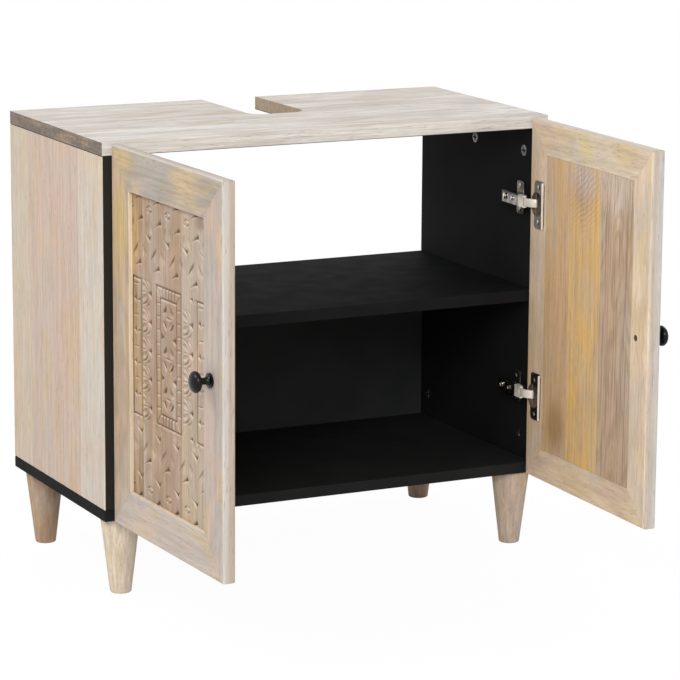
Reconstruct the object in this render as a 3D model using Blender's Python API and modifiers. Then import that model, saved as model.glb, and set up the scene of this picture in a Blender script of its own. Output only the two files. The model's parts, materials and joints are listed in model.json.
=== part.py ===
"""Under-basin cabinet on four turned legs, with two framed doors on concealed hinges.

Metres. X runs across the front, Y from the front to the back, Z up from the floor. The carcass is
built with its front plane at Y = 0, and one empty then shifts everything so that the origin lies on
the floor under the middle of the cabinet with its doors open. Plan positions on either side of the
cabinet are given as an inset, measured from that side's outer face towards the middle.
"""

from math import asin, cos, pi, radians, sin, sqrt

import bmesh
import bpy
from mathutils import Matrix, Vector

# Overall size
WIDTH = 0.650
DEPTH = 0.330
HEIGHT = 0.600
CONTACT_GAP = 0.0003
CUT_ALLOWANCE = 0.002
BOARD_EDGE_RADIUS = 0.0012

# Boards of the carcass
TOP_THICKNESS = 0.018
SIDE_THICKNESS = 0.018
BOTTOM_THICKNESS = 0.015
SHELF_THICKNESS = 0.016
LOWER_SPACE_HEIGHT = 0.226
SHELF_HOUSING_DEPTH = 0.006
BACK_THICKNESS = 0.006
BACK_REBATE_WIDTH = 0.008

# Notch for the basin's waste pipe, in the back edge of the top
NOTCH_WIDTH = 0.082
NOTCH_DEPTH = 0.170
NOTCH_CORNER_RADIUS = 0.022

# Turned legs and the bolts that hold them
LEG_HEIGHT = 0.104
LEG_TOP_DIAMETER = 0.0525
LEG_FOOT_DIAMETER = 0.0285
LEG_EDGE_RADIUS = 0.0020
LEG_INSET = 0.033
LEG_SETBACK = 0.029
LEG_BOLT_DIAMETER = 0.008
LEG_BOLT_IN_LEG = 0.028
BOLT_COVER = 0.004

# Cam fittings that join the sides to the top and to the bottom
CAM_DIAMETER = 0.015
CAM_DEPTH = 0.0125
CAM_FROM_BOARD = 0.034
TOP_CAM_SETBACK = 0.034
TOP_CAM_SPACING = 0.138
BOTTOM_CAM_SETBACK = 0.032
BOTTOM_CAM_FROM_BACK = 0.030
CAM_BOLT_DIAMETER = 0.007
CAM_BOLT_NECK_DIAMETER = 0.005
CAM_BOLT_HEAD_LENGTH = 0.003
CAM_BOLT_NECK_LENGTH = 0.005
CAM_BOLT_THREAD_DIAMETER = 0.006

# Framed doors
DOOR_THICKNESS = 0.018
DOOR_GAP = 0.0025
DOOR_SIDE_REVEAL = 0.001
DOOR_TOP_REVEAL = 0.003
DOOR_BOTTOM_REVEAL = 0.0005
DOOR_MEETING_GAP = 0.003
FRAME_BEHIND_CUP = 0.005
DOOR_EDGE_RADIUS = 0.0025
DOOR_INNER_EDGE_RADIUS = 0.0010
PANEL_RECESS = 0.0055
PANEL_REBATE_WIDTH = 0.008
DOOR_OPENING = radians(88.5)

# Knobs and their screws
KNOB_FROM_FREE_EDGE = 0.032
KNOB_PROJECTION = 0.027
KNOB_HEAD_DIAMETER = 0.027
KNOB_CROWN_HEIGHT = 0.007
KNOB_UNDERSIDE_HEIGHT = 0.006
KNOB_NECK_DIAMETER = 0.0085
KNOB_BASE_DIAMETER = 0.019
KNOB_BASE_THICKNESS = 0.0025
KNOB_FLARE_HEIGHT = 0.007
KNOB_BORE_DEPTH = 0.012
KNOB_SCREW_DIAMETER = 0.004
KNOB_SCREW_HEAD_DIAMETER = 0.008
KNOB_SCREW_HEAD_HEIGHT = 0.0025
KNOB_SCREW_RECESS = 0.010

# Concealed hinges: a cup in the door, an arm on the side, and a link that pivots on both
HINGE_FROM_DOOR_END = 0.114
CUP_DIAMETER = 0.035
CUP_DEPTH = 0.0115
CUP_WALL = 0.001
CUP_FROM_DOOR_EDGE = 0.0215
CUP_RIM_RELIEF = 0.0012
FLANGE_LENGTH = 0.065
FLANGE_FROM_DOOR_EDGE = 0.014
FLANGE_WIDTH = 0.026
FLANGE_THICKNESS = 0.0012
FLANGE_CORNER_RADIUS = 0.005
CUP_PIVOT_FROM_DOOR_EDGE = 0.013
CUP_PIVOT_DEPTH = 0.002
ARM_PIVOT_STANDOFF = 0.0155
ARM_PIVOT_SETBACK = 0.00125
PIN_DIAMETER = 0.0018
PIN_CLEARANCE = 0.0002
LINK_HALF_WIDTH = 0.0019
LINK_HEIGHT = 0.011
LINK_BOW = 0.003
LINK_TURN_PER_DOOR_TURN = 55.0 / 90.0
ARM_EAR_THICKNESS = 0.0022
ARM_THICKNESS = 0.006
ARM_REAR_SETBACK = 0.064
ARM_NOSE_RADIUS = 0.0026
ARM_NOSE_TAPER = 0.012
PLATE_SETBACK = 0.037
PLATE_WING_HEIGHT = 0.046
PLATE_WING_WIDTH = 0.018
PLATE_WING_THICKNESS = 0.002
PLATE_CORNER_RADIUS = 0.004
PLATE_RIB_HEIGHT = 0.010
PLATE_RIB_STANDOFF = 0.009
PLATE_RIB_FRONT = 0.014

# Facets of round shapes
LARGE_ROUND_SIDES = 32
ROUND_SIDES = 24
SMALL_ROUND_SIDES = 12
ARC_STEPS = 5
EDGE_STEPS = 2

# Places that follow from the sizes above
HANDS = {"left": -1, "right": 1}
UNDERSIDE = LEG_HEIGHT
FLOOR_TOP = UNDERSIDE + BOTTOM_THICKNESS
SHELF_UNDERSIDE = FLOOR_TOP + LOWER_SPACE_HEIGHT
SHELF_TOP = SHELF_UNDERSIDE + SHELF_THICKNESS
TOP_UNDERSIDE = HEIGHT - TOP_THICKNESS
BACK_FACE_FRONT = DEPTH - BACK_THICKNESS
LEG_BOLT_IN_BOARD = BOTTOM_THICKNESS - BOLT_COVER
CAM_BOLT_IN_BOARD = min(TOP_THICKNESS, BOTTOM_THICKNESS) - BOLT_COVER
TOP_CAMS = {"front": TOP_CAM_SETBACK, "rear": TOP_CAM_SETBACK + TOP_CAM_SPACING}
BOTTOM_CAMS = {"front": BOTTOM_CAM_SETBACK, "rear": DEPTH - BOTTOM_CAM_FROM_BACK}
DOOR_WIDTH = WIDTH / 2 - DOOR_SIDE_REVEAL - DOOR_MEETING_GAP / 2
DOOR_FRAME_WIDTH = CUP_FROM_DOOR_EDGE + CUP_DIAMETER / 2 + FRAME_BEHIND_CUP + PANEL_REBATE_WIDTH
DOOR_BOTTOM = UNDERSIDE + DOOR_BOTTOM_REVEAL
DOOR_TOP = HEIGHT - DOOR_TOP_REVEAL
DOOR_BACK = -DOOR_GAP
DOOR_FRONT = DOOR_BACK - DOOR_THICKNESS
DOOR_FREE_INSET = DOOR_SIDE_REVEAL + DOOR_WIDTH
HINGE_HEIGHTS = {"upper": DOOR_TOP - HINGE_FROM_DOOR_END, "lower": DOOR_BOTTOM + HINGE_FROM_DOOR_END}
CUP_INSET = DOOR_SIDE_REVEAL + CUP_FROM_DOOR_EDGE
ARM_PIVOT = Vector((SIDE_THICKNESS + ARM_PIVOT_STANDOFF, ARM_PIVOT_SETBACK))
CUP_PIVOT = Vector((DOOR_SIDE_REVEAL + CUP_PIVOT_FROM_DOOR_EDGE, DOOR_BACK - CUP_PIVOT_DEPTH))
LINK_OPENING = DOOR_OPENING * LINK_TURN_PER_DOOR_TURN
ARM_HEIGHT = LINK_HEIGHT + 2 * (CONTACT_GAP + ARM_EAR_THICKNESS)


def clear_scene():
    for obj in list(bpy.data.objects):
        bpy.data.objects.remove(obj, do_unlink=True)


def new_collection(name):
    collection = bpy.data.collections.new(name)
    bpy.context.scene.collection.children.link(collection)
    return collection


def finish(name, colour, roughness, metallic=0.0):
    material = bpy.data.materials.new(name)
    material.use_nodes = True
    shader = material.node_tree.nodes["Principled BSDF"]
    shader.inputs["Base Color"].default_value = (*colour, 1.0)
    shader.inputs["Roughness"].default_value = roughness
    shader.inputs["Metallic"].default_value = metallic
    return material


clear_scene()
PARTS = new_collection("Under-basin cabinet")
CUTTERS = new_collection("Cutters")
WHITEWASHED_WOOD = finish("Whitewashed wood", (0.68, 0.62, 0.56), 0.6)
NATURAL_WOOD = finish("Natural wood", (0.66, 0.53, 0.41), 0.6)
DOOR_WOOD = finish("Door frame wood", (0.62, 0.50, 0.39), 0.6)
PANEL_WOOD = finish("Carved panel wood", (0.52, 0.38, 0.27), 0.65)
LEG_WOOD = finish("Leg wood", (0.60, 0.49, 0.38), 0.6)
BLACK_BOARD = finish("Black lacquer", (0.012, 0.012, 0.013), 0.5)
NICKEL = finish("Nickel-plated steel", (0.62, 0.60, 0.57), 0.3, 1.0)
ZINC = finish("Zinc-plated steel", (0.55, 0.55, 0.56), 0.4, 1.0)
BLACK_ENAMEL = finish("Black enamel", (0.010, 0.010, 0.010), 0.15)


def place(obj, material, parent):
    """Puts a sub-part in the collection of parts, under the empty that carries it."""
    PARTS.objects.link(obj)
    obj.data.materials.append(material)
    obj.parent = parent
    return obj


def place_cutter(name, mesh, parent):
    cutter = bpy.data.objects.new(name + "_cutter", mesh)
    CUTTERS.objects.link(cutter)
    cutter.parent = parent
    cutter.hide_render = True
    cutter.display_type = "WIRE"
    return cutter


def add_axis(name, location, turn, parent):
    """An empty on a joint's vertical axis."""
    axis = bpy.data.objects.new(name, None)
    PARTS.objects.link(axis)
    axis.location = location
    axis.rotation_euler.z = turn
    axis.parent = parent
    return axis


def combine(target, cutter, operation="DIFFERENCE"):
    modifier = target.modifiers.new(cutter.name, "BOOLEAN")
    modifier.operation = operation
    modifier.solver = "EXACT"
    modifier.object = cutter


def soften(obj, radius):
    modifier = obj.modifiers.new("Rounded edges", "BEVEL")
    modifier.width = radius
    modifier.segments = 2
    modifier.limit_method = "ANGLE"


def mesh_of(name, bm):
    mesh = bpy.data.meshes.new(name)
    bm.to_mesh(mesh)
    bm.free()
    return mesh


def box(name, corner, opposite, round_along=None, radius=0.0):
    """A box between two corners. The edges along one axis, X, Y or Z as 0, 1 or 2, can be rounded."""
    low = Vector(map(min, corner, opposite))
    high = Vector(map(max, corner, opposite))
    bm = bmesh.new()
    bmesh.ops.create_cube(bm, size=1.0)
    bmesh.ops.scale(bm, vec=high - low, verts=bm.verts)
    bmesh.ops.translate(bm, vec=(low + high) / 2, verts=bm.verts)
    if round_along is not None:
        edges = [e for e in bm.edges if abs((e.verts[0].co - e.verts[1].co)[round_along]) > 1e-6]
        bmesh.ops.bevel(bm, geom=edges, offset=radius, segments=ARC_STEPS, profile=0.5, affect="EDGES")
    return mesh_of(name, bm)


def cylinder(name, start, end, diameter, sides=ROUND_SIDES):
    start, end = Vector(start), Vector(end)
    along = end - start
    bm = bmesh.new()
    bmesh.ops.create_cone(
        bm, cap_ends=True, segments=sides, radius1=diameter / 2, radius2=diameter / 2, depth=along.length
    )
    turn = along.to_track_quat("Z", "Y").to_matrix().to_4x4()
    bmesh.ops.transform(bm, matrix=Matrix.Translation((start + end) / 2) @ turn, verts=bm.verts)
    mesh = mesh_of(name, bm)
    mesh.shade_smooth()
    mesh.set_sharp_from_angle(angle=radians(40))
    return mesh


def turned(name, profile, sides):
    """A shape turned on Z. The profile, as (radius, height), runs from its top down the outer side."""
    bm = bmesh.new()
    points = [bm.verts.new((radius, 0.0, height)) for radius, height in profile]
    for first, second in zip(points, points[1:]):
        bm.edges.new((first, second))
    obj = bpy.data.objects.new(name, mesh_of(name, bm))
    screw = obj.modifiers.new("Turned", "SCREW")
    screw.axis = "Z"
    screw.angle = 2 * pi
    screw.steps = screw.render_steps = sides
    screw.use_merge_vertices = True
    screw.merge_threshold = 0.00001
    screw.use_smooth_shade = True
    return obj


def arc(centre, radius, start, end, steps=ARC_STEPS):
    """Points along an arc, both ends included. The angles are in radians."""
    angles = [start + (end - start) * i / steps for i in range(steps + 1)]
    return [(centre[0] + radius * cos(a), centre[1] + radius * sin(a)) for a in angles]


def extruded(name, outlines, thickness):
    """Closed outlines in XY, the inner ones as holes, made a solid of this thickness about Z = 0."""
    curve = bpy.data.curves.new(name, "CURVE")
    curve.dimensions = "2D"
    curve.fill_mode = "BOTH"
    curve.extrude = thickness / 2
    for outline in outlines:
        spline = curve.splines.new("POLY")
        spline.points.add(len(outline) - 1)
        for point, (x, y) in zip(spline.points, outline):
            point.co = (x, y, 0.0, 1.0)
        spline.use_cyclic_u = True
    guide = bpy.data.objects.new(name, curve)
    bpy.context.scene.collection.objects.link(guide)
    evaluated = guide.evaluated_get(bpy.context.evaluated_depsgraph_get())
    bm = bmesh.new()
    bm.from_mesh(bpy.data.meshes.new_from_object(evaluated))
    bpy.data.objects.remove(guide, do_unlink=True)
    bmesh.ops.remove_doubles(bm, verts=bm.verts, dist=1e-6)
    bmesh.ops.recalc_face_normals(bm, faces=bm.faces)
    return mesh_of(name, bm)


def across(hand, inset):
    """X of a place at this inset from the outer face of the left (-1) or right (1) side."""
    return hand * (WIDTH / 2 - inset)


def turned_plan(point, angle):
    return Vector((point.x * cos(angle) - point.y * sin(angle), point.x * sin(angle) + point.y * cos(angle)))


def open_door_place(point):
    """Inset and Y that a place on the closed door takes when the door stands open."""
    pivot = ARM_PIVOT + turned_plan(CUP_PIVOT - ARM_PIVOT, LINK_OPENING)
    return pivot + turned_plan(point - CUP_PIVOT, -DOOR_OPENING)


def front_reach():
    """The lowest Y that an open door's free edge comes to."""
    corners = [Vector((DOOR_FREE_INSET, y)) for y in (DOOR_FRONT, DOOR_BACK)]
    return min(open_door_place(corner).y for corner in corners)


def add_part(name, mesh, material, parent):
    return place(bpy.data.objects.new(name, mesh), material, parent)


def add_turned(name, profile, material, parent, location=(0, 0, 0), rotation=(0, 0, 0), sides=ROUND_SIDES):
    obj = place(turned(name, profile, sides), material, parent)
    obj.location = location
    obj.rotation_euler = rotation
    return obj


def build_top(root):
    half = WIDTH / 2
    mesh = box("top_board", (-half, 0, TOP_UNDERSIDE), (half, DEPTH, HEIGHT))
    top = add_part("top_board", mesh, WHITEWASHED_WOOD, root)
    soften(top, BOARD_EDGE_RADIUS)
    past = NOTCH_CORNER_RADIUS + CUT_ALLOWANCE
    notch = box(
        "top_notch",
        (-NOTCH_WIDTH / 2, DEPTH - NOTCH_DEPTH, TOP_UNDERSIDE - CUT_ALLOWANCE),
        (NOTCH_WIDTH / 2, DEPTH + past, HEIGHT + CUT_ALLOWANCE),
        round_along=2,
        radius=NOTCH_CORNER_RADIUS,
    )
    combine(top, place_cutter("top_notch", notch, root))
    return top


def build_bottom(root):
    half = WIDTH / 2
    mesh = box("bottom_board", (-half, 0, UNDERSIDE), (half, DEPTH, FLOOR_TOP))
    bottom = add_part("bottom_board", mesh, BLACK_BOARD, root)
    soften(bottom, BOARD_EDGE_RADIUS)
    return bottom


def build_side(label, hand, root):
    """A side panel, housed for the shelf and rebated at the back for the thin back panel."""
    name = f"{label}_side_panel"
    low, high = FLOOR_TOP + CONTACT_GAP, TOP_UNDERSIDE - CONTACT_GAP
    inner = across(hand, SIDE_THICKNESS)
    mesh = box(name, (across(hand, 0), 0, low), (inner, DEPTH, high))
    side = add_part(name, mesh, NATURAL_WOOD, root)
    soften(side, BOARD_EDGE_RADIUS)
    past_inner = across(hand, SIDE_THICKNESS + CUT_ALLOWANCE)
    housing = box(
        name + "_housing",
        (across(hand, SIDE_THICKNESS - SHELF_HOUSING_DEPTH), -CUT_ALLOWANCE, SHELF_UNDERSIDE - CONTACT_GAP),
        (past_inner, DEPTH + CUT_ALLOWANCE, SHELF_TOP + CONTACT_GAP),
    )
    combine(side, place_cutter(name + "_housing", housing, root))
    rebate_wall = across(hand, SIDE_THICKNESS - BACK_REBATE_WIDTH)
    rebate = box(
        name + "_rebate",
        (rebate_wall, BACK_FACE_FRONT - CONTACT_GAP, low - CUT_ALLOWANCE),
        (past_inner, DEPTH + CUT_ALLOWANCE, SHELF_UNDERSIDE + SHELF_THICKNESS / 2),
    )
    combine(side, place_cutter(name + "_rebate", rebate, root))
    return side


def build_shelf(root):
    half = WIDTH / 2 - SIDE_THICKNESS + SHELF_HOUSING_DEPTH - CONTACT_GAP
    mesh = box("shelf", (-half, 0, SHELF_UNDERSIDE), (half, DEPTH, SHELF_TOP))
    shelf = add_part("shelf", mesh, BLACK_BOARD, root)
    soften(shelf, BOARD_EDGE_RADIUS)


def build_back(root):
    half = WIDTH / 2 - SIDE_THICKNESS + BACK_REBATE_WIDTH - CONTACT_GAP
    low, high = FLOOR_TOP + CONTACT_GAP, SHELF_UNDERSIDE - CONTACT_GAP
    mesh = box("back_panel", (-half, BACK_FACE_FRONT, low), (half, DEPTH, high))
    add_part("back_panel", mesh, BLACK_BOARD, root)


def build_leg(name, place_xy, bottom, root):
    """A tapered leg, bored at the top for the bolt that holds it under the bottom board."""
    height = LEG_HEIGHT - CONTACT_GAP
    top, foot, edge = LEG_TOP_DIAMETER / 2, LEG_FOOT_DIAMETER / 2, LEG_EDGE_RADIUS
    bore = LEG_BOLT_DIAMETER / 2 + CONTACT_GAP
    bore_floor = height - LEG_BOLT_IN_LEG - CONTACT_GAP
    profile = [(0, bore_floor), (bore, bore_floor), (bore, height)]
    profile += reversed(arc((top - edge, height - edge), edge, 0, pi / 2, EDGE_STEPS))
    profile += reversed(arc((foot - edge, edge), edge, -pi / 2, 0, EDGE_STEPS))
    profile += [(0, 0)]
    add_turned(name, profile, LEG_WOOD, root, location=(*place_xy, 0), sides=LARGE_ROUND_SIDES)
    bolt = LEG_BOLT_DIAMETER / 2
    low, high = LEG_HEIGHT - LEG_BOLT_IN_LEG, LEG_HEIGHT + LEG_BOLT_IN_BOARD
    chamfer = bolt / 4
    bolt_profile = [(0, high), (bolt - chamfer, high), (bolt, high - chamfer)]
    bolt_profile += [(bolt, low + chamfer), (bolt - chamfer, low), (0, low)]
    add_turned(name + "_bolt", bolt_profile, ZINC, root, location=(*place_xy, 0), sides=SMALL_ROUND_SIDES)
    hole = cylinder(
        name + "_bolt_hole",
        (*place_xy, UNDERSIDE - CUT_ALLOWANCE),
        (*place_xy, high + CONTACT_GAP),
        LEG_BOLT_DIAMETER + 2 * CONTACT_GAP,
        SMALL_ROUND_SIDES,
    )
    combine(bottom, place_cutter(name + "_bolt_hole", hole, root))


def build_legs(bottom, root):
    for row, y in (("front", LEG_SETBACK), ("rear", DEPTH - LEG_SETBACK)):
        for label, hand in HANDS.items():
            build_leg(f"{row}_{label}_leg", (across(hand, LEG_INSET), y), bottom, root)


def cam_bolt_profile(length):
    """Thread at the top, then the shank, a thin neck and the head that the cam pulls on."""
    thread, shank = CAM_BOLT_THREAD_DIAMETER / 2, CAM_BOLT_DIAMETER / 2
    neck = CAM_BOLT_NECK_DIAMETER / 2
    thread_foot = length - CAM_BOLT_IN_BOARD - CONTACT_GAP
    neck_top = CAM_BOLT_HEAD_LENGTH + CAM_BOLT_NECK_LENGTH
    return [
        (0, length),
        (thread, length),
        (thread, thread_foot),
        (shank, thread_foot),
        (shank, neck_top),
        (neck, neck_top),
        (neck, CAM_BOLT_HEAD_LENGTH),
        (shank, CAM_BOLT_HEAD_LENGTH),
        (shank, 0),
        (0, 0),
    ]


def build_cam(name, hand, y, board, board_face, towards_board, side, root):
    """A cam nut in the side's inner face, and its bolt along the side's middle into the board."""
    centre_z = board_face - towards_board * CAM_FROM_BOARD
    middle = across(hand, SIDE_THICKNESS / 2)
    face = across(hand, SIDE_THICKNESS)
    blind_end = across(hand, SIDE_THICKNESS - CAM_DEPTH)
    pocket_end = across(hand, SIDE_THICKNESS - CAM_DEPTH - CONTACT_GAP)
    past_face = across(hand, SIDE_THICKNESS + CUT_ALLOWANCE)
    body = cylinder(name + "_nut", (blind_end, y, centre_z), (face, y, centre_z), CAM_DIAMETER)
    nut = add_part(name + "_nut", body, ZINC, root)
    slot_half = CAM_BOLT_DIAMETER / 2 + CONTACT_GAP
    head_end = centre_z - towards_board * (CAM_BOLT_HEAD_LENGTH / 2 + CONTACT_GAP)
    past_nut = centre_z + towards_board * CAM_DIAMETER
    slot = box(
        name + "_slot",
        (across(hand, SIDE_THICKNESS - CAM_DEPTH - CUT_ALLOWANCE), y - slot_half, head_end),
        (across(hand, SIDE_THICKNESS / 2 + slot_half), y + slot_half, past_nut),
    )
    combine(nut, place_cutter(name + "_slot", slot, root))
    pocket = cylinder(
        name + "_pocket", (pocket_end, y, centre_z), (past_face, y, centre_z), CAM_DIAMETER + 2 * CONTACT_GAP
    )
    combine(side, place_cutter(name + "_pocket", pocket, root))

    length = CAM_FROM_BOARD + CAM_BOLT_HEAD_LENGTH / 2 + CAM_BOLT_IN_BOARD
    head_z = centre_z - towards_board * CAM_BOLT_HEAD_LENGTH / 2
    turn = 0.0 if towards_board > 0 else pi
    add_turned(
        name + "_bolt", cam_bolt_profile(length), ZINC, root,
        location=(middle, y, head_z), rotation=(turn, 0, 0), sides=SMALL_ROUND_SIDES,
    )
    bore = cylinder(
        name + "_bore", (middle, y, centre_z), (middle, y, board_face + towards_board * CUT_ALLOWANCE),
        CAM_BOLT_DIAMETER + 2 * CONTACT_GAP, SMALL_ROUND_SIDES,
    )
    combine(side, place_cutter(name + "_bore", bore, root))
    thread_end = board_face + towards_board * (CAM_BOLT_IN_BOARD + CONTACT_GAP)
    hole = cylinder(
        name + "_hole", (middle, y, board_face - towards_board * CUT_ALLOWANCE), (middle, y, thread_end),
        CAM_BOLT_THREAD_DIAMETER + 2 * CONTACT_GAP, SMALL_ROUND_SIDES,
    )
    combine(board, place_cutter(name + "_hole", hole, root))


def build_cams(label, hand, top, bottom, side, root):
    for row, y in TOP_CAMS.items():
        build_cam(f"{label}_top_{row}_cam", hand, y, top, TOP_UNDERSIDE, 1, side, root)
    for row, y in BOTTOM_CAMS.items():
        build_cam(f"{label}_bottom_{row}_cam", hand, y, bottom, FLOOR_TOP, -1, side, root)


def build_mounting_plate(name, hand, z, root):
    """Winged plate on the side's inner face, with the rib that the hinge arm clamps on."""
    seat = SIDE_THICKNESS + CONTACT_GAP
    half_width, half_height = PLATE_WING_WIDTH / 2, PLATE_WING_HEIGHT / 2
    wing = box(
        name,
        (across(hand, seat), PLATE_SETBACK - half_width, z - half_height),
        (across(hand, seat + PLATE_WING_THICKNESS), PLATE_SETBACK + half_width, z + half_height),
        round_along=0,
        radius=PLATE_CORNER_RADIUS,
    )
    plate = add_part(name, wing, NICKEL, root)
    rib = box(
        name + "_rib",
        (across(hand, seat), PLATE_RIB_FRONT, z - PLATE_RIB_HEIGHT / 2),
        (across(hand, seat + PLATE_RIB_STANDOFF), ARM_REAR_SETBACK, z + PLATE_RIB_HEIGHT / 2),
    )
    combine(plate, place_cutter(name + "_rib", rib, root), "UNION")


def build_arm(name, hand, z, root):
    """Hinge arm along the rib, ending in a forked nose with the pin that the link turns on."""
    seat = SIDE_THICKNESS + 2 * CONTACT_GAP + PLATE_RIB_STANDOFF
    nose = arc(ARM_PIVOT, ARM_NOSE_RADIUS, 0, -pi, 2 * ARC_STEPS)
    outline = [(seat, ARM_REAR_SETBACK), (seat + ARM_THICKNESS, ARM_REAR_SETBACK), *nose]
    outline += [(seat, ARM_PIVOT.y + ARM_NOSE_TAPER)]
    mesh = extruded(name, [[(across(hand, inset), y) for inset, y in outline]], ARM_HEIGHT)
    arm = add_part(name, mesh, NICKEL, root)
    arm.location.z = z
    reach = 2 * ARM_NOSE_RADIUS
    fork_half = LINK_HEIGHT / 2 + CONTACT_GAP
    fork = box(
        name + "_fork",
        (across(hand, ARM_PIVOT.x - reach), ARM_PIVOT.y - reach, z - fork_half),
        (across(hand, ARM_PIVOT.x + reach), ARM_PIVOT.y + LINK_HALF_WIDTH + 2 * CONTACT_GAP, z + fork_half),
    )
    combine(arm, place_cutter(name + "_fork", fork, root))
    pin_half = (fork_half + ARM_HEIGHT / 2) / 2
    x = across(hand, ARM_PIVOT.x)
    ends = [(x, ARM_PIVOT.y, z + side * pin_half) for side in (-1, 1)]
    pin = cylinder(name + "_pin", *ends, PIN_DIAMETER, SMALL_ROUND_SIDES)
    combine(arm, place_cutter(name + "_pin", pin, root), "UNION")


def bowed_bar(start, end, bow, half_width):
    """Outline of a bar of even width and round ends, bowed to the left of the way it runs."""
    along = (end - start).normalized()
    left = Vector((-along.y, along.x))
    half_chord = (end - start).length / 2
    radius = (half_chord**2 + bow**2) / (2 * bow)
    centre = (start + end) / 2 - left * (radius - bow)
    spread = asin(half_chord / radius)

    def towards(angle):
        return left * cos(angle) + along * sin(angle)

    def sweep(middle, size, first, last):
        angles = [first + (last - first) * i / ARC_STEPS for i in range(ARC_STEPS + 1)]
        return [tuple(middle + towards(a) * size) for a in angles]

    outline = sweep(centre, radius + half_width, -spread, spread)
    outline += sweep(end, half_width, spread, spread + pi)[1:-1]
    outline += sweep(centre, radius - half_width, spread, -spread)
    outline += sweep(start, half_width, pi - spread, 2 * pi - spread)[1:-1]
    return outline


def build_link(name, hand, z, axis):
    """Bowed link between the arm's pin and the cup's pin, in the frame of the arm's pin."""
    cup_pivot = CUP_PIVOT - ARM_PIVOT
    eye = PIN_DIAMETER / 2 + PIN_CLEARANCE
    outlines = [bowed_bar(Vector((0, 0)), cup_pivot, LINK_BOW, LINK_HALF_WIDTH)]
    for centre in (Vector((0, 0)), cup_pivot):
        outlines.append(arc(centre, eye, 0, 2 * pi, SMALL_ROUND_SIDES)[:-1])
    mirrored = [[(-hand * inset, y) for inset, y in outline] for outline in outlines]
    mesh = extruded(name, mirrored, LINK_HEIGHT)
    link = add_part(name, mesh, NICKEL, axis)
    link.location.z = z


def door_x(hand, inset):
    """X of a place on the closed door, from the door's pivot."""
    return hand * (CUP_PIVOT.x - inset)


def door_y(y):
    """Y of a place on the closed door, from the door's pivot."""
    return y - CUP_PIVOT.y


def build_cup(name, hand, z, stile, axis):
    """Cup sunk in the hinge stile, with its screw flange and the pin that the link turns on."""
    flange_low = door_y(DOOR_BACK + CONTACT_GAP)
    flange_high = flange_low + FLANGE_THICKNESS
    rim = (flange_low + flange_high) / 2
    floor = door_y(DOOR_BACK - CUP_DEPTH)
    centre_x = door_x(hand, CUP_INSET)
    flange_inset = DOOR_SIDE_REVEAL + FLANGE_FROM_DOOR_EDGE
    flange = box(
        name,
        (door_x(hand, flange_inset), flange_low, z - FLANGE_LENGTH / 2),
        (door_x(hand, flange_inset + FLANGE_WIDTH), flange_high, z + FLANGE_LENGTH / 2),
        round_along=1,
        radius=FLANGE_CORNER_RADIUS,
    )
    cup = add_part(name, flange, NICKEL, axis)
    body = cylinder(name + "_body", (centre_x, floor, z), (centre_x, rim, z), CUP_DIAMETER)
    combine(cup, place_cutter(name + "_body", body, axis), "UNION")
    bore_diameter = CUP_DIAMETER - 2 * CUP_WALL
    above = flange_high + CUT_ALLOWANCE
    cavity = cylinder(name + "_cavity", (centre_x, floor + CUP_WALL, z), (centre_x, above, z), bore_diameter)
    combine(cup, place_cutter(name + "_cavity", cavity, axis))
    relief_half = LINK_HEIGHT / 2 + CUP_WALL
    outside = CUP_INSET - CUP_DIAMETER / 2 - CUT_ALLOWANCE
    relief = box(
        name + "_relief",
        (door_x(hand, outside), door_y(DOOR_BACK) - CUP_RIM_RELIEF, z - relief_half),
        (door_x(hand, CUP_PIVOT.x), above, z + relief_half),
    )
    combine(cup, place_cutter(name + "_relief", relief, axis))
    pin_half = sqrt((bore_diameter / 2) ** 2 - (CUP_INSET - CUP_PIVOT.x) ** 2) + CUP_WALL / 2
    pin = cylinder(name + "_pin", (0, 0, z - pin_half), (0, 0, z + pin_half), PIN_DIAMETER, SMALL_ROUND_SIDES)
    combine(cup, place_cutter(name + "_pin", pin, axis), "UNION")
    bore = cylinder(
        name + "_bore",
        (centre_x, floor - CONTACT_GAP, z),
        (centre_x, door_y(DOOR_BACK) + CUT_ALLOWANCE, z),
        CUP_DIAMETER + 2 * CONTACT_GAP,
    )
    combine(stile, place_cutter(name + "_bore", bore, axis))


def frame_profile():
    """Section of a door frame member: outer edge at X = 0, front at Y = 0, rebated for the panel."""
    outer, inner = DOOR_EDGE_RADIUS, DOOR_INNER_EDGE_RADIUS
    thick, wide = DOOR_THICKNESS, DOOR_FRAME_WIDTH
    seat = PANEL_RECESS
    outline = arc((outer, outer), outer, pi, 1.5 * pi, EDGE_STEPS)
    outline += arc((wide - inner, inner), inner, 1.5 * pi, 2 * pi, EDGE_STEPS)
    outline += [(wide, seat), (wide - PANEL_REBATE_WIDTH, seat), (wide - PANEL_REBATE_WIDTH, thick)]
    outline += arc((outer, thick - outer), outer, 0.5 * pi, pi, EDGE_STEPS)
    return outline


def mitre(bm, plane_point, plane_normal):
    """Cuts away what lies beyond the plane, and closes the cut."""
    everything = bm.verts[:] + bm.edges[:] + bm.faces[:]
    bmesh.ops.bisect_plane(bm, geom=everything, plane_co=plane_point, plane_no=plane_normal, clear_outer=True)
    rim = [edge for edge in bm.edges if edge.is_boundary]
    bmesh.ops.holes_fill(bm, edges=rim)


def build_frame_member(name, outer_middle, inward, length, axis):
    """A mitred stile or rail, whose outer front edge is centred on the given place."""
    mesh = extruded(name, [frame_profile()], length)
    bm = bmesh.new()
    bm.from_mesh(mesh)
    half = length / 2 - CONTACT_GAP / sqrt(2)
    for end in (-1, 1):
        mitre(bm, (0, 0, end * half), (1, 0, end))
    bmesh.ops.recalc_face_normals(bm, faces=bm.faces)
    bm.to_mesh(mesh)
    bm.free()
    back = Vector((0, 1, 0))
    run = inward.cross(back)
    member = add_part(name, mesh, DOOR_WOOD, axis)
    turn = Matrix((inward, back, run)).transposed().to_4x4()
    member.matrix_basis = Matrix.Translation(outer_middle) @ turn
    return member


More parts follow.
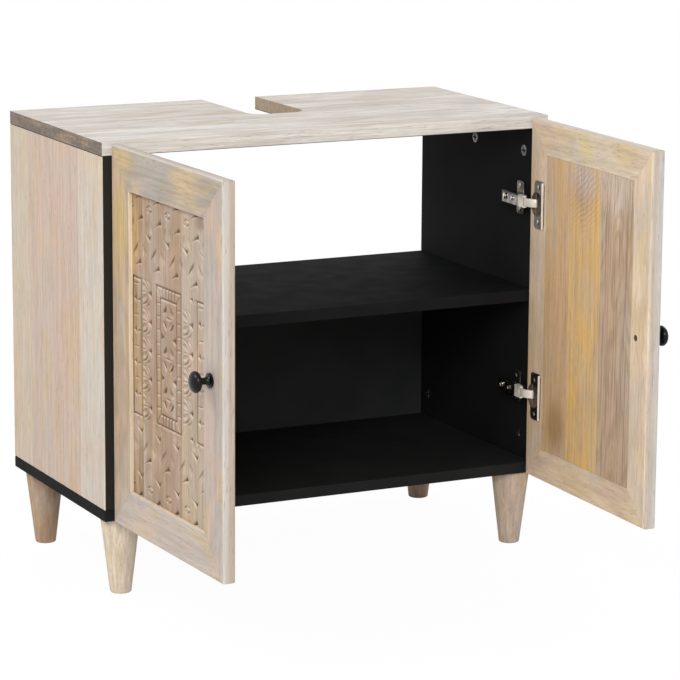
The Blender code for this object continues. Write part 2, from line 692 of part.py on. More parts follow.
def build_door_frame(label, hand, axis):
    """Two stiles and two rails. Gives back the hinge stile and the free stile, which are bored later."""
    front = door_y(DOOR_FRONT)
    middle_x = door_x(hand, DOOR_SIDE_REVEAL + DOOR_WIDTH / 2)
    middle_z = (DOOR_BOTTOM + DOOR_TOP) / 2
    height = DOOR_TOP - DOOR_BOTTOM
    towards_free = Vector((-hand, 0, 0))
    up = Vector((0, 0, 1))
    members = {
        "hinge_stile": ((door_x(hand, DOOR_SIDE_REVEAL), front, middle_z), towards_free, height),
        "free_stile": ((door_x(hand, DOOR_FREE_INSET), front, middle_z), -towards_free, height),
        "top_rail": ((middle_x, front, DOOR_TOP), -up, DOOR_WIDTH),
        "bottom_rail": ((middle_x, front, DOOR_BOTTOM), up, DOOR_WIDTH),
    }
    built = {}
    for part, (outer_middle, inward, length) in members.items():
        built[part] = build_frame_member(f"{label}_door_{part}", Vector(outer_middle), inward, length, axis)
    return built["hinge_stile"], built["free_stile"]


def build_door_panel(label, hand, axis):
    """A panel set back from the frame's front and flush with its back."""
    edge = DOOR_FRAME_WIDTH - PANEL_REBATE_WIDTH + CONTACT_GAP
    front = door_y(DOOR_FRONT) + PANEL_RECESS + CONTACT_GAP
    name = f"{label}_door_panel"
    mesh = box(
        name,
        (door_x(hand, DOOR_SIDE_REVEAL + edge), front, DOOR_BOTTOM + edge),
        (door_x(hand, DOOR_FREE_INSET - edge), door_y(DOOR_BACK), DOOR_TOP - edge),
    )
    add_part(name, mesh, PANEL_WOOD, axis)


def knob_profile():
    """Flared base, thin neck and mushroom head, with a bore for the screw in its base at height 0."""
    head, neck, base = KNOB_HEAD_DIAMETER / 2, KNOB_NECK_DIAMETER / 2, KNOB_BASE_DIAMETER / 2
    bore = KNOB_SCREW_DIAMETER / 2 + CONTACT_GAP
    widest = KNOB_PROJECTION - KNOB_CROWN_HEIGHT
    quarter = [i * pi / 2 / ARC_STEPS for i in range(ARC_STEPS + 1)]
    dome = [(head * sin(a), widest + KNOB_CROWN_HEIGHT * cos(a)) for a in quarter]
    under = [(neck + (head - neck) * cos(a), widest - KNOB_UNDERSIDE_HEIGHT * sin(a)) for a in quarter[1:]]
    flare = [
        (base - (base - neck) * sin(a), KNOB_BASE_THICKNESS + KNOB_FLARE_HEIGHT * (1 - cos(a)))
        for a in reversed(quarter)
    ]
    return dome + under + flare + [(base, 0), (bore, 0), (bore, KNOB_BORE_DEPTH), (0, KNOB_BORE_DEPTH)]


def build_knob(label, hand, free_stile, axis):
    """Knob on the front of the free stile, and the screw that holds it from the inner side."""
    x = door_x(hand, DOOR_FREE_INSET - KNOB_FROM_FREE_EDGE)
    z = (DOOR_BOTTOM + DOOR_TOP) / 2
    front, back = door_y(DOOR_FRONT), door_y(DOOR_BACK)
    facing_front = (pi / 2, 0, 0)
    add_turned(
        f"{label}_knob", knob_profile(), BLACK_ENAMEL, axis,
        location=(x, front - CONTACT_GAP, z), rotation=facing_front,
    )
    shank, head = KNOB_SCREW_DIAMETER / 2, KNOB_SCREW_HEAD_DIAMETER / 2
    head_seat = back - KNOB_SCREW_RECESS + CONTACT_GAP
    length = head_seat - front + KNOB_BORE_DEPTH - 2 * CONTACT_GAP
    screw_profile = [(0, length), (shank, length), (shank, 0), (head, 0), (head, -KNOB_SCREW_HEAD_HEIGHT)]
    screw_profile += [(0, -KNOB_SCREW_HEAD_HEIGHT)]
    add_turned(
        f"{label}_knob_screw", screw_profile, ZINC, axis,
        location=(x, head_seat, z), rotation=facing_front, sides=SMALL_ROUND_SIDES,
    )
    hole = cylinder(
        f"{label}_knob_hole", (x, front - CUT_ALLOWANCE, z), (x, back + CUT_ALLOWANCE, z),
        KNOB_SCREW_DIAMETER + 2 * CONTACT_GAP, SMALL_ROUND_SIDES,
    )
    combine(free_stile, place_cutter(f"{label}_knob_hole", hole, axis))
    recess = cylinder(
        f"{label}_knob_recess", (x, back - KNOB_SCREW_RECESS, z), (x, back + CUT_ALLOWANCE, z),
        KNOB_SCREW_HEAD_DIAMETER + 2 * CONTACT_GAP, SMALL_ROUND_SIDES,
    )
    combine(free_stile, place_cutter(f"{label}_knob_recess", recess, axis))


def build_door(label, hand, root):
    """A door and its hinges. The link's axis carries the door's axis, as the real link carries the door."""
    arm_pin = (across(hand, ARM_PIVOT.x), ARM_PIVOT.y, 0)
    link_axis = add_axis(f"{label}_link_axis", arm_pin, -hand * LINK_OPENING, root)
    reach = CUP_PIVOT - ARM_PIVOT
    cup_pin = (-hand * reach.x, reach.y, 0)
    door_axis = add_axis(f"{label}_door_axis", cup_pin, hand * (DOOR_OPENING + LINK_OPENING), link_axis)
    hinge_stile, free_stile = build_door_frame(label, hand, door_axis)
    build_door_panel(label, hand, door_axis)
    build_knob(label, hand, free_stile, door_axis)
    for row, z in HINGE_HEIGHTS.items():
        hinge = f"{label}_{row}_hinge"
        build_mounting_plate(hinge + "_plate", hand, z, root)
        build_arm(hinge + "_arm", hand, z, root)
        build_link(hinge + "_link", hand, z, link_axis)
        build_cup(hinge + "_cup", hand, z, hinge_stile, door_axis)


def main():
    centre_shift = -(DEPTH + front_reach()) / 2
    root = add_axis("cabinet", (0, centre_shift, 0), 0.0, None)
    top = build_top(root)
    bottom = build_bottom(root)
    build_shelf(root)
    build_back(root)
    build_legs(bottom, root)
    for label, hand in HANDS.items():
        side = build_side(label, hand, root)
        build_cams(label, hand, top, bottom, side, root)
        build_door(label, hand, root)


main()
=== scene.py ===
"""Dresses the under-basin cabinet: wood, lacquer and metal finishes, carved panels and hinge details.

Metres, in the frame's axes: X across the front, Y towards the back, Z up. A place on a door is given
as u, from its hinge edge towards its free edge, n, out of its front face, and v, up from its bottom edge.
"""

import json
from math import cos, pi, radians, sin
from random import Random

import bmesh
import bpy
import numpy as np
from mathutils import Matrix, Vector


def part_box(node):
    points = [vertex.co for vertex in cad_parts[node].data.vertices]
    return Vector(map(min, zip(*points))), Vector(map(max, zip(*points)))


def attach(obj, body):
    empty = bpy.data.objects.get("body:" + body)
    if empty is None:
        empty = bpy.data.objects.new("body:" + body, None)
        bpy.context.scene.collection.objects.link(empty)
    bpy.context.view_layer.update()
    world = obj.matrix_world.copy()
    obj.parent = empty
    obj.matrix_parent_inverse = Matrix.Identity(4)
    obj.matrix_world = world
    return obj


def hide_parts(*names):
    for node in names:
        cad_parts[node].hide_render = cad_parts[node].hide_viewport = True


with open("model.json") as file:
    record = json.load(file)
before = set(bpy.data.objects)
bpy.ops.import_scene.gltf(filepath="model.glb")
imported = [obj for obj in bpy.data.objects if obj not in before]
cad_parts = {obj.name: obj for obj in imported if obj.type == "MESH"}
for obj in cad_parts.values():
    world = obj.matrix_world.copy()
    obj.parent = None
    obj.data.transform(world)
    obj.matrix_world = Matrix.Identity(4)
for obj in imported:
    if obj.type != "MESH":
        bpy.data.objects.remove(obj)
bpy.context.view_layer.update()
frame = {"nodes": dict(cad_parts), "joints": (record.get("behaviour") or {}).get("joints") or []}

MM = 0.001
X, Y, Z = range(3)
HANDS = {"left": -1, "right": 1}
ENDS = {"top": 1, "bottom": -1}
HINGE_ROWS = ("upper", "lower")

# Camera, fitted to the edges of the cabinet in the photograph
CAMERA_LENS = 167.95
CAMERA_PLACE = Vector((-1.8204, -3.6925, 1.1808))
CAMERA_TURN = radians(26.41)
CAMERA_FALL = radians(11.85)
CAMERA_ROLL = radians(0.38)

# Studio: the strength of the world's light, and each lamp's place, size and power
WORLD_LIGHT = 0.50
LAMP_TARGET = (0, 0, 0.3)
LAMPS = {
    "front": ((-2.2, -3.6, 2.4), 2.0, 112.0),
    "left": ((-3.2, 0.2, 3.0), 1.8, 60.0),
    "right": ((3.0, 1.6, 2.4), 2.2, 45.0),
}

# Floor. A little of the shadow on it shows, and fades out between two distances from the middle.
FLOOR_HALF_WIDTH = 6.0
FLOOR_DROP = 0.2 * MM
FLOOR_COLOUR = (244, 243, 241)
SHADOW_REACH = (0.25, 0.75)
WHITE_IN_SHADOW = 0.97

# Doors as they stand open, by the pin that each one turns on
DOOR_OPENING = radians(88.5)
PIN_FROM_HINGE_EDGE = 13.0 * MM
PIN_BEHIND_FRONT = 16.0 * MM
INNER_SIDE_DEPTHS = (12 * MM, 14 * MM)
THROUGH_DOOR = 0.1

# Turned pieces
LEG_FOOT_RADIUS = 14.25 * MM
LEG_EDGE_RADIUS = 2.2 * MM
KNOB_HEAD_RADIUS = 13.5 * MM
KNOB_CROWN_HEIGHT = 7.0 * MM
KNOB_UNDERSIDE_HEIGHT = 6.0 * MM
KNOB_NECK_RADIUS = 4.25 * MM
KNOB_BASE_RADIUS = 9.5 * MM
KNOB_BASE_HEIGHT = 2.5 * MM
KNOB_FLARE_HEIGHT = 7.0 * MM
KNOB_EDGE_RADIUS = 0.6 * MM
KNOB_EDGE_STEPS = 4
TURNED_STEPS = 72
ARC_STEPS = 12
SAME_PLACE = 0.001 * MM

# Carved panels, in millimetres
CARVING_PITCH = 1.0
CARVING_SEED = 11
TOOL_SLOPE = 1.0
UPRIGHT_SLOPE = 0.7
DEEPEST_CUT = 3.2
DARKENED_CUT = 2.8
HAND_WANDER = 0.5
FRAME_LINE = 2.1
UPRIGHT_LINE = 2.7
TICK_LINE = 1.4
HATCH_LINE = 2.2
LEAF_POINTS = 8
LEAF_REACH = 30.0
LEAF_PITCH = 36.7
SCOOP_DEPTH = 1.25
PANEL_TONGUE = 8.0
CARVING_SHIFT = (-4.0, -1.5)
BAND_HEIGHT = 88.0
LEFT_LEAVES = -49.5
RIGHT_LEAVES = 71.0
SIDE_FRAMES = (-106.0, 82.0)
MOTIF_COUNT = 5
MOTIF_PITCH = 54.5
FIRST_MOTIF = -83.0

# Hinges
LIP_THICKNESS = 1.1 * MM
LIP_HEIGHT = 3.4 * MM
LIP_SETBACK = 1.0 * MM
LIP_EDGE_RADIUS = 0.45 * MM
LIP_SINK = 0.6 * MM
ARM_RIM = 1.7 * MM
ARM_TROUGH = 0.9 * MM
ARM_NOSE_BACK = 17.0 * MM
FLANGE_DEPTH = 1.6 * MM
STEEL_EDGE_RADIUS = 0.4 * MM
WING_THICKNESS = 2.0 * MM
PLATE_SCREW_BACK = 36.0 * MM
PLATE_SCREW_SPACING = 32.0 * MM
CUP_SCREW_INSET = 14.0 * MM
CUP_SCREW_SPACING = 48.0 * MM

# Screw heads: radius, rise of the dome and reach of the cross, and before them the place from the arm's rear
FIXING_SCREW = (3.4 * MM, 0.9 * MM, 2.0 * MM)
ARM_SCREWS = {
    "clamp": (8.5 * MM, (3.9 * MM, 0.9 * MM, 2.3 * MM)),
    "depth": (29.0 * MM, (3.0 * MM, 0.7 * MM, 1.8 * MM)),
}
SCREW_STEPS = 40
SCREW_RINGS = 12
CROSS_HALF_WIDTH = 0.24
CROSS_DEPTH = 0.55
CAM_CROSS = 4.6 * MM
CAM_RISE = 0.25 * MM
CAM_SETBACK = 0.3 * MM
CAM_DARK_DEPTH = 0.2 * CAM_CROSS

# Metals: material name, darkest and brightest screen colour, roughness, and share of metal if not 1
METALS = {
    "dull": ("nickel_steel", (84, 77, 70), (112, 104, 95), 0.30, 0.9),
    "bright": ("polished_steel", (214, 209, 200), (238, 233, 224), 0.18),
    "arm": ("arm_steel", (122, 117, 110), (150, 144, 137), 0.22),
    # The nose is pale and only a little metal, a painted sheen
    "nose": ("nose_steel", (214, 205, 193), (234, 226, 214), 0.36, 0.2),
    "cup": ("cup_steel", (110, 96, 84), (136, 120, 106), 0.40, 0.4),
    "satin": ("satin_steel", (222, 215, 204), (238, 232, 222), 0.42, 0.35),
    # Dark steel as painted shade, for the knob screw in its hole and the cams' cross recesses
    "shade_black": ("shade_black_steel", (38, 33, 29), (56, 50, 45), 0.45, 0.5),
    "zinc": ("zinc_steel", (92, 92, 91), (138, 138, 135), 0.40),
}

# Noise drawn out along the grain: cells for each metre across and along it, detail, offset and distortion
STREAKS = (210, 7, 6.0, 1.0, 0.3)
FIBRES = (800, 24, 4.0, 2.0)
PORES = (1100, 55, 2.0, 3.0)
RING_WANDER = (6, 1.3, 3.0, 29.0, 0.3)
LIT_EDGE_WANDER = (90, 9, 3.0, 37.0)
FLECKS = (240, 9, 4.0, 41.0)
SLANT_WANDER = (30, 18, 4.0, 47.0)

# Width of timber that the whole range of the rings' noise stands for
RING_SPAN = 0.35

# Screen colours of the timber and lacquer, set by comparing renders with the photograph
YELLOW_TINT = (199, 170, 112)
PINK_TINT = (203, 172, 155)
GREY_TINT = (186, 181, 173)
PALE_TINT = (226, 216, 203)
PORE_TINT = (122, 96, 72)
RING_TINT = (136, 106, 84)
# Colour in the carving's cuts: dark wax and painted shade
CUT_TINT = (86, 62, 44)
# Painted highlight on the door frames' narrow faces
OPENING_HIGHLIGHT = (224, 207, 180)
# Painted highlight on the front half of the doors' outer edges, and painted shade on the back half
LIT_EDGE = (204, 199, 192)
SHADED_EDGES = {"left": (185, 166, 150), "right": (200, 186, 171)}
END_GRAIN_TINT = (116, 104, 94)
WARM_END_TINT = (146, 126, 104)
NOTCH_TINT = (172, 153, 129)
RUBBED_LIT_BLACK = (46, 42, 37)
RUBBED_LIT_GREY = (80, 76, 72)
# Painted shade in the knob screw's bore
BORE_SHADE = (58, 42, 27)
FLECK_TINT = (124, 102, 88)
WASHED_TINT = (228, 224, 218)
TOP_TONE = (216, 209, 202)
TOP_WARM_TINT = (203, 186, 167)
TOP_PALE_TINT = (230, 226, 221)
BLACK = (27, 27, 28)
DEEP_BLACK = (22, 23, 23)
BACK_LIT_BLACK = (49, 50, 51)
FLOOR_BLACK = (34, 35, 35)
ENAMEL_BLACKS = ((6, 6, 7), (14, 14, 14))
# Leg tones: the front right leg and the rear legs are darker with painted shade
LEG_TONES_WITH_SHADE = {
    "front_left_leg": (212, 197, 176),
    "front_right_leg": (190, 170, 152),
    "rear_left_leg": (161, 133, 108),
    "rear_right_leg": (160, 130, 104),
}
SIDE_TONES = ((199, 190, 179), (193, 174, 161), (193, 175, 163), (196, 182, 165))
SIDE_WIDTHS = (0.080, 0.100, 0.078, 0.072)

# Planks of the carved panels, from the free edge
PANEL_WIDTHS = {"left": (0.1245, 0.114, 0.084), "right": (0.1275, 0.083, 0.112)}
PANEL_FRONT_TONES = ((174, 158, 141), (160, 136, 115), (146, 121, 93))
PANEL_INNER_TONES = ((196, 169, 142), (226, 185, 119), (208, 172, 130))
PANEL_RINGS = (0.22, 0.09, 0.06)
PANEL_FLECKS = (0.50, 0.14, 0.10)
PANEL_SLANTS = (0.0, 0.28, 0.0)
FRONT_FIGURE = 0.3

# Door frames: the tones of the front and of the inner side
FRAME_TONES = {
    "hinge_stile": ((166, 146, 123), (216, 192, 166)),
    "free_stile": ((172, 160, 151), (229, 208, 181)),
    "top_rail": ((157, 148, 136), (215, 197, 173)),
    "bottom_rail": ((184, 172, 162), (227, 203, 172)),
}

# Spots in the timber, and one of painted shade: their tint, u and v of the middle, half width and half height
# in millimetres
SPOTS = {
    "left_hinge_stile": [((197, 168, 106), 30.0, 390.0, 24.0, 80.0)],
    "left_top_rail": [
        ((192, 167, 117), 30.0, 478.0, 50.0, 40.0),
        ((160, 155, 149), 120.0, 470.0, 70.0, 42.0),
        ((189, 165, 131), 215.0, 474.0, 60.0, 48.0),
    ],
    "left_panel": [
        ((193, 158, 96), 54.0, 385.0, 26.0, 75.0),
        ((185, 150, 98), 50.0, 240.0, 22.0, 130.0),
        # Painted shade in the panel's top corner, under the rail by the free stile
        ((132, 114, 96), 248.0, 430.0, 20.0, 14.0),
    ],
    "right_top_rail": [((212, 195, 140), 150.0, 474.0, 26.0, 34.0)],
    "right_panel": [
        ((158, 122, 70), 82.0, 84.0, 36.0, 50.0),
        ((184, 156, 138), 140.0, 425.0, 44.0, 70.0),
        ((202, 188, 180), 158.0, 436.0, 70.0, 42.0),
        ((216, 200, 184), 245.0, 432.0, 60.0, 66.0),
        ((214, 180, 140), 128.0, 250.0, 18.0, 120.0),
    ],
}

# Slanting figure in the right panel's middle plank: its middle, half width and half height in millimetres
SLANTED_SPOT = (150.0, 415.0, 62.0, 85.0)
SLANT = radians(34)
SLANT_SPACING = 6.5 * MM
SLANT_BEND = 24.0


def linear(red, green, blue):
    """A screen colour, 0 to 255, as the linear values that a shader takes."""
    shares = [value / 255 for value in (red, green, blue)]
    return [s / 12.92 if s <= 0.04045 else ((s + 0.055) / 1.055) ** 2.4 for s in shares] + [1.0]


def grey(value):
    return [value, value, value, 1.0]


class Door:
    """An open door: the way from its own u, n, v to the frame's X, Y, Z."""

    def __init__(self, label):
        hand = HANDS[label]
        self.label = label
        self.hand = hand
        self.body = f"{label}_door"
        along = Vector((-hand * cos(DOOR_OPENING), -sin(DOOR_OPENING), 0))
        out = Vector((hand * sin(DOOR_OPENING), -cos(DOOR_OPENING), 0))
        swing = next(joint for joint in frame["joints"] if joint["name"] == f"{label}_door_swing")
        corner = Vector(swing["pos_m"]) - along * PIN_FROM_HINGE_EDGE + out * PIN_BEHIND_FRONT
        corner.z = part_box(f"{label}_door_hinge_stile")[0].z
        turn = Matrix((along, out, Vector((0, 0, 1)))).transposed().to_4x4()
        self.place = Matrix.Translation(corner) @ turn

    def box(self, part):
        """Lowest and highest u, n, v of one of the door's CAD nodes."""
        back = self.place.inverted()
        mesh = frame["nodes"][f"{self.label}_{part}"].data
        points = np.array([back @ vertex.co for vertex in mesh.vertices])
        return Vector(points.min(axis=0)), Vector(points.max(axis=0))


class Nodes:
    """A node tree. Most calls add a node and give back one of its outputs."""

    def __init__(self, tree):
        self.tree = tree

    def node(self, kind, inputs=None, **settings):
        node = self.tree.nodes.new("ShaderNode" + kind)
        for name, value in settings.items():
            setattr(node, name, value)
        for name, value in (inputs or {}).items():
            self.feed(node.inputs[name], value)
        return node

    def add(self, kind, inputs=None, output=0, **settings):
        return self.node(kind, inputs, **settings).outputs[output]

    def feed(self, socket, value):
        if isinstance(value, bpy.types.NodeSocket):
            self.tree.links.new(value, socket)
        else:
            socket.default_value = value

    def number(self, operation, first, second=0.0):
        return self.add("Math", {0: first, 1: second}, operation=operation)

    def times(self, first, second):
        return self.number("MULTIPLY", first, second)

    def opposite(self, share):
        return self.number("SUBTRACT", 1.0, share)

    def seen(self):
        """1 for rays from the camera, from a reflection or through glass, and 0 for other light."""
        rays = self.node("LightPath").outputs
        seen = self.number("MAXIMUM", rays["Is Camera Ray"], rays["Is Glossy Ray"])
        return self.number("MAXIMUM", seen, rays["Is Transmission Ray"])


class Finish(Nodes):
    """A material's nodes: places, patterns and blends."""

    def __init__(self, name):
        self.material = bpy.data.materials.new(name)
        self.material.use_nodes = True
        super().__init__(self.material.node_tree)
        self.shader = self.tree.nodes["Principled BSDF"]
        coordinates = self.node("TexCoord").outputs
        self.place = coordinates["Object"]
        self.normal = coordinates["Normal"]

    def shade(self, **values):
        for name, value in values.items():
            self.feed(self.shader.inputs[name.replace("_", " ")], value)
        return self.material

    def dot(self, first, second):
        return self.add("VectorMath", {0: first, 1: second}, "Value", operation="DOT_PRODUCT")

    def length(self, vector):
        return self.add("VectorMath", {0: vector}, "Value", operation="LENGTH")

    def coordinate(self, axis):
        return self.add("SeparateXYZ", {0: self.place}, axis)

    def facing(self, axis):
        """The surface normal's part along an axis."""
        return self.add("SeparateXYZ", {0: self.normal}, axis)

    def looking_along(self, axis):
        """1 where the surface looks along an axis, either way, and 0 across it."""
        return self.spread(self.number("ABSOLUTE", self.facing(axis)), 0.6, 0.85)

    def behind(self, door):
        """How far a place lies behind the door's front face."""
        out = door.place.to_3x3() @ Vector((0, 1, 0))
        return self.number("SUBTRACT", out.dot(door.place.translation), self.dot(self.place, out))

    def inner_side(self, door):
        """0 on the front of the door and 1 on its inner side."""
        return self.spread(self.behind(door), *INNER_SIDE_DEPTHS)

    def near(self, middle, radii):
        """1 at a place, easing to 0 at these radii from it along X, Y and Z."""
        inputs = {"Location": middle, "Scale": radii, "Vector": self.place}
        local = self.add("Mapping", inputs, vector_type="TEXTURE")
        return self.spread(self.length(local), 0.2, 1.0, 1.0, 0.0)

    def near_spot(self, door, spot):
        """1 at a spot on a door, given as u, v, half width and half height in millimetres."""
        u, v, half_width, half_height = [size * MM for size in spot]
        return self.near(door.place @ Vector((u, 0, v)), (THROUGH_DOOR, half_width, half_height))

    def noise(self, scale, detail, offset=0.0, distortion=0.0, place=None):
        """Noise whose scale along X, Y and Z is in cells for each metre."""
        inputs = {"Vector": place or self.place, "Scale": scale, "Location": [offset] * 3}
        mapped = self.add("Mapping", inputs)
        inputs = {"Vector": mapped, "Scale": 1.0, "Detail": detail, "Distortion": distortion}
        return self.add("TexNoise", inputs, "Fac")

    def cloud(self, scale, detail=4.0):
        """Noise of the same scale all ways."""
        return self.noise([scale] * 3, detail)

    def spread(self, value, low, high, to_low=0.0, to_high=1.0):
        """The value from low to high, eased, as to_low to to_high."""
        ends = {"From Min": low, "From Max": high, "To Min": to_low, "To Max": to_high}
        return self.add("MapRange", {"Value": value, **ends}, interpolation_type="SMOOTHSTEP")

    def mix(self, share, first, second, blend="MIX"):
        inputs = {"Fac": share, "Color1": first, "Color2": second}
        return self.add("MixRGB", inputs, blend_type=blend)

    def darken(self, colour, value, low, high, darkest, brightest):
        """The colour, times a grey from darkest to brightest as the value goes from low to high."""
        return self.mix(1.0, colour, self.spread(value, low, high, darkest, brightest), "MULTIPLY")

    def bump(self, height, strength, distance):
        inputs = {"Height": height, "Strength": strength, "Distance": distance}
        return self.add("Bump", inputs)

    def arris(self, radius):
        """0 on a flat face, rising to 1 at an edge."""
        rounded = self.add("Bevel", {"Radius": radius}, samples=4)
        flat = self.add("NewGeometry", None, "Normal")
        return self.spread(self.opposite(self.dot(rounded, flat)), 0.01, 0.16)

    def lacquer(self, shade):
        """Black, a little uneven, and greyer at the arrises, from rubbing and a painted highlight."""
        cloud = self.cloud(14)
        darkest, brightest = [linear(*[share * value for value in shade]) for share in (0.8, 1.2)]
        black = self.mix(cloud, darkest, brightest)
        worn_and_lit = self.times(self.arris(1.2 * MM), self.spread(cloud, 0.40, 0.62, 0.08, 0.4))
        return self.mix(worn_and_lit, black, linear(*RUBBED_LIT_GREY))


class Planks:
    """Boards glued side by side along Y, with what changes from one to the next."""

    def __init__(self, finish, start, widths):
        self.finish = finish
        self.start = start
        self.total = sum(widths)
        self.starts = [sum(widths[:i]) / self.total for i in range(len(widths))]

    def ramp(self, stops):
        """Hard steps of colour, by the share of the way over all planks."""
        ends = {"From Min": self.start, "From Max": self.start + self.total}
        share = self.finish.add("MapRange", {"Value": self.finish.coordinate(Y), **ends})
        node = self.finish.node("ValToRGB", {"Fac": share})
        node.color_ramp.interpolation = "CONSTANT"
        elements = node.color_ramp.elements
        while len(elements) < len(stops):
            elements.new(1.0)
        for element, (position, colour) in zip(elements, stops):
            element.position = position
            element.color = colour
        return node.outputs["Color"]

    def tones(self, tones):
        return self.ramp([(start, linear(*tone)) for start, tone in zip(self.starts, tones)])

    def shares(self, shares):
        return self.ramp([(start, grey(share)) for start, share in zip(self.starts, shares)])

    def shifted(self):
        """The place, moved in each plank, so that no grain runs on into the next."""
        moves = self.shares([i / len(self.starts) for i in range(len(self.starts))])
        return self.finish.add("VectorMath", {0: self.finish.place, 1: moves}, operation="ADD")

    def seams(self, width):
        """1 along the glue lines between the planks, and 0 elsewhere."""
        half = width / 2 / self.total
        stops = [(0.0, grey(0.0))]
        for start in self.starts[1:]:
            stops += [(start - half, grey(1.0)), (start + half, grey(0.0))]
        return self.ramp(stops)


class Timber(Finish):
    """A wood finish, built up in layers over a colour."""

    def __init__(self, name, grain, seed, planks=None):
        super().__init__(name)
        self.grain = grain
        self.seed = seed
        self.colour = grey(1.0)
        self.planks = Planks(self, *planks) if planks else None
        self.figure_place = self.planks.shifted() if planks else self.place
        self.streaks = self.pattern(*STREAKS)
        self.fibres = self.pattern(*FIBRES)
        self.polish = self.streaks
        self.relief = self.number("ADD", self.fibres, self.streaks)

    def pattern(self, across, along, detail, offset, distortion=0.0):
        """Noise drawn out along the grain."""
        scale = [across] * 3
        scale[self.grain] = along
        return self.noise(scale, detail, self.seed + offset, distortion, self.figure_place)

    def blend(self, share, tint):
        """Lays a tint over the colour, as strong as the share says."""
        self.colour = self.mix(share, self.colour, linear(*tint))

    def patch(self, tint, strength, offset, across, along):
        cloud = self.pattern(across, along, 3.0, offset, 0.8)
        self.blend(self.spread(cloud, 0.48, 0.66, 0.0, strength), tint)

    def patches(self, yellow, pink, dull, across=22, along=8):
        """Yellow, pink and grey patches of these strengths."""
        self.patch(YELLOW_TINT, yellow, 11.0, across, along)
        self.patch(PINK_TINT, pink, 17.0, across, along)
        self.patch(GREY_TINT, dull, 23.0, across, along)

    def rings(self, spacing, strength):
        """Growth rings, cut lengthwise into long drawn-out arches."""
        phase = self.times(self.pattern(*RING_WANDER), 2 * pi * RING_SPAN / spacing)
        lines = self.spread(self.number("SINE", phase), -0.2, 0.9)
        self.blend(self.times(lines, strength), RING_TINT)

    def grained(self, strength):
        """Streaks and fibres, and dark pores between them."""
        self.colour = self.darken(self.colour, self.streaks, 0.34, 0.66, 1.0 - strength, 1.0 + 0.4 * strength)
        self.colour = self.darken(self.colour, self.fibres, 0.32, 0.68, 1.0 - 0.7 * strength, 1.04)
        self.blend(self.spread(self.pattern(*PORES), 0.60, 0.72, 0.0, 0.55), PORE_TINT)

    # Paler arrises, from wear and a painted highlight
    def worn_and_lit(self, strength):
        self.blend(self.times(self.arris(2.2 * MM), strength), PALE_TINT)

    def slanted(self, door, strength):
        """Slanting lines that rise towards the free edge, near a spot on the inner side."""
        level = self.dot(self.place, (0, sin(SLANT), cos(SLANT)))
        turns = self.times(level, 2 * pi / SLANT_SPACING)
        phase = self.number("ADD", turns, self.times(self.pattern(*SLANT_WANDER), SLANT_BEND))
        lines = self.spread(self.number("SINE", phase), -0.3, 0.9)
        share = self.times(self.times(lines, self.near_spot(door, SLANTED_SPOT)), self.inner_side(door))
        self.blend(self.times(share, strength), RING_TINT)

    def spots(self, door, part):
        """A member's spots: on the left door's front, and on the right door's inner side."""
        shown = self.inner_side(door)
        if door.label == "left":
            shown = self.opposite(shown)
        for tint, *spot in SPOTS.get(f"{door.label}_{part}", []):
            uneven = self.spread(self.streaks, 0.3, 0.65, 0.45, 0.85)
            self.blend(self.times(self.times(self.near_spot(door, spot), uneven), shown), tint)

    def flecks(self, strength):
        """Short dark strokes along the grain."""
        strokes = self.spread(self.pattern(*FLECKS), 0.52, 0.66)
        self.blend(self.times(strokes, strength), FLECK_TINT)

    def lacquered(self, shown):
        """Covers with black all but what is shown, and smooths the grain away under it."""
        self.colour = self.mix(shown, self.lacquer(BLACK), self.colour)
        self.relief = self.times(self.relief, shown)
        self.polish = self.times(self.polish, shown)

    def finished(self, roughness=0.58, specular=0.3):
        rough = self.spread(self.polish, 0.3, 0.7, roughness + 0.07, roughness - 0.06)
        normal = self.bump(self.relief, 0.3, 0.35 * MM)
        self.shade(Base_Color=self.colour, Roughness=rough, Normal=normal)
        return self.shade(Specular_IOR_Level=specular)


def frame_wood(door, part, seed):
    """Door frame timber. Its narrow faces are pale, a painted highlight, and the free edge is pale half-way
    round from the front, a painted highlight, and darker behind, painted shade.
    """
    wood = Timber(f"{door.label}_{part}_wood", Y if part.endswith("rail") else Z, seed)
    front, inner = FRAME_TONES[part]
    wood.colour = wood.mix(wood.inner_side(door), linear(*front), linear(*inner))
    wood.patches(yellow=0.40, pink=0.40, dull=0.40)
    wood.spots(door, part)
    wood.rings(spacing=0.010, strength=0.09)
    edge = linear(*OPENING_HIGHLIGHT)
    # Outer edges: a painted highlight on the front half, and painted shade towards the back
    if part in ("free_stile", "top_rail"):
        ragged = wood.times(wood.pattern(*LIT_EDGE_WANDER), 9 * MM)
        shaded_back = wood.spread(wood.number("ADD", wood.behind(door), ragged), 8 * MM, 17 * MM)
        edge = wood.mix(shaded_back, linear(*LIT_EDGE), linear(*SHADED_EDGES[door.label]))
    # Painted highlight on the narrow faces
    narrow = wood.opposite(wood.looking_along(X))
    wood.colour = wood.mix(wood.times(narrow, 0.9), wood.colour, edge)
    # Painted shade on the wall of the knob screw's bore
    if part == "free_stile":
        low, high = door.box("knob_screw")
        reach = 1.5 * (high.z - low.z)
        bore = wood.near(door.place @ ((low + high) / 2), (THROUGH_DOOR, reach, reach))
        wood.blend(wood.times(narrow, bore), BORE_SHADE)
    wood.grained(0.09)
    return wood.finished()


def end_grain(wood):
    """Dark streaked ends of the boards, warmer in patches, and paler in the pipe notch."""
    warm = wood.spread(wood.noise([20, 14, 60], 3.0, 6.0), 0.46, 0.62)
    tone = wood.mix(warm, linear(*END_GRAIN_TINT), linear(*WARM_END_TINT))
    tone = wood.darken(tone, wood.noise([20, 30, 600], 4.0, 8.0), 0.35, 0.65, 0.82, 1.1)
    in_notch = wood.spread(wood.number("ABSOLUTE", wood.coordinate(X)), 0.15, 0.2, 0.9, 0.0)
    return wood.mix(in_notch, tone, linear(*NOTCH_TINT))


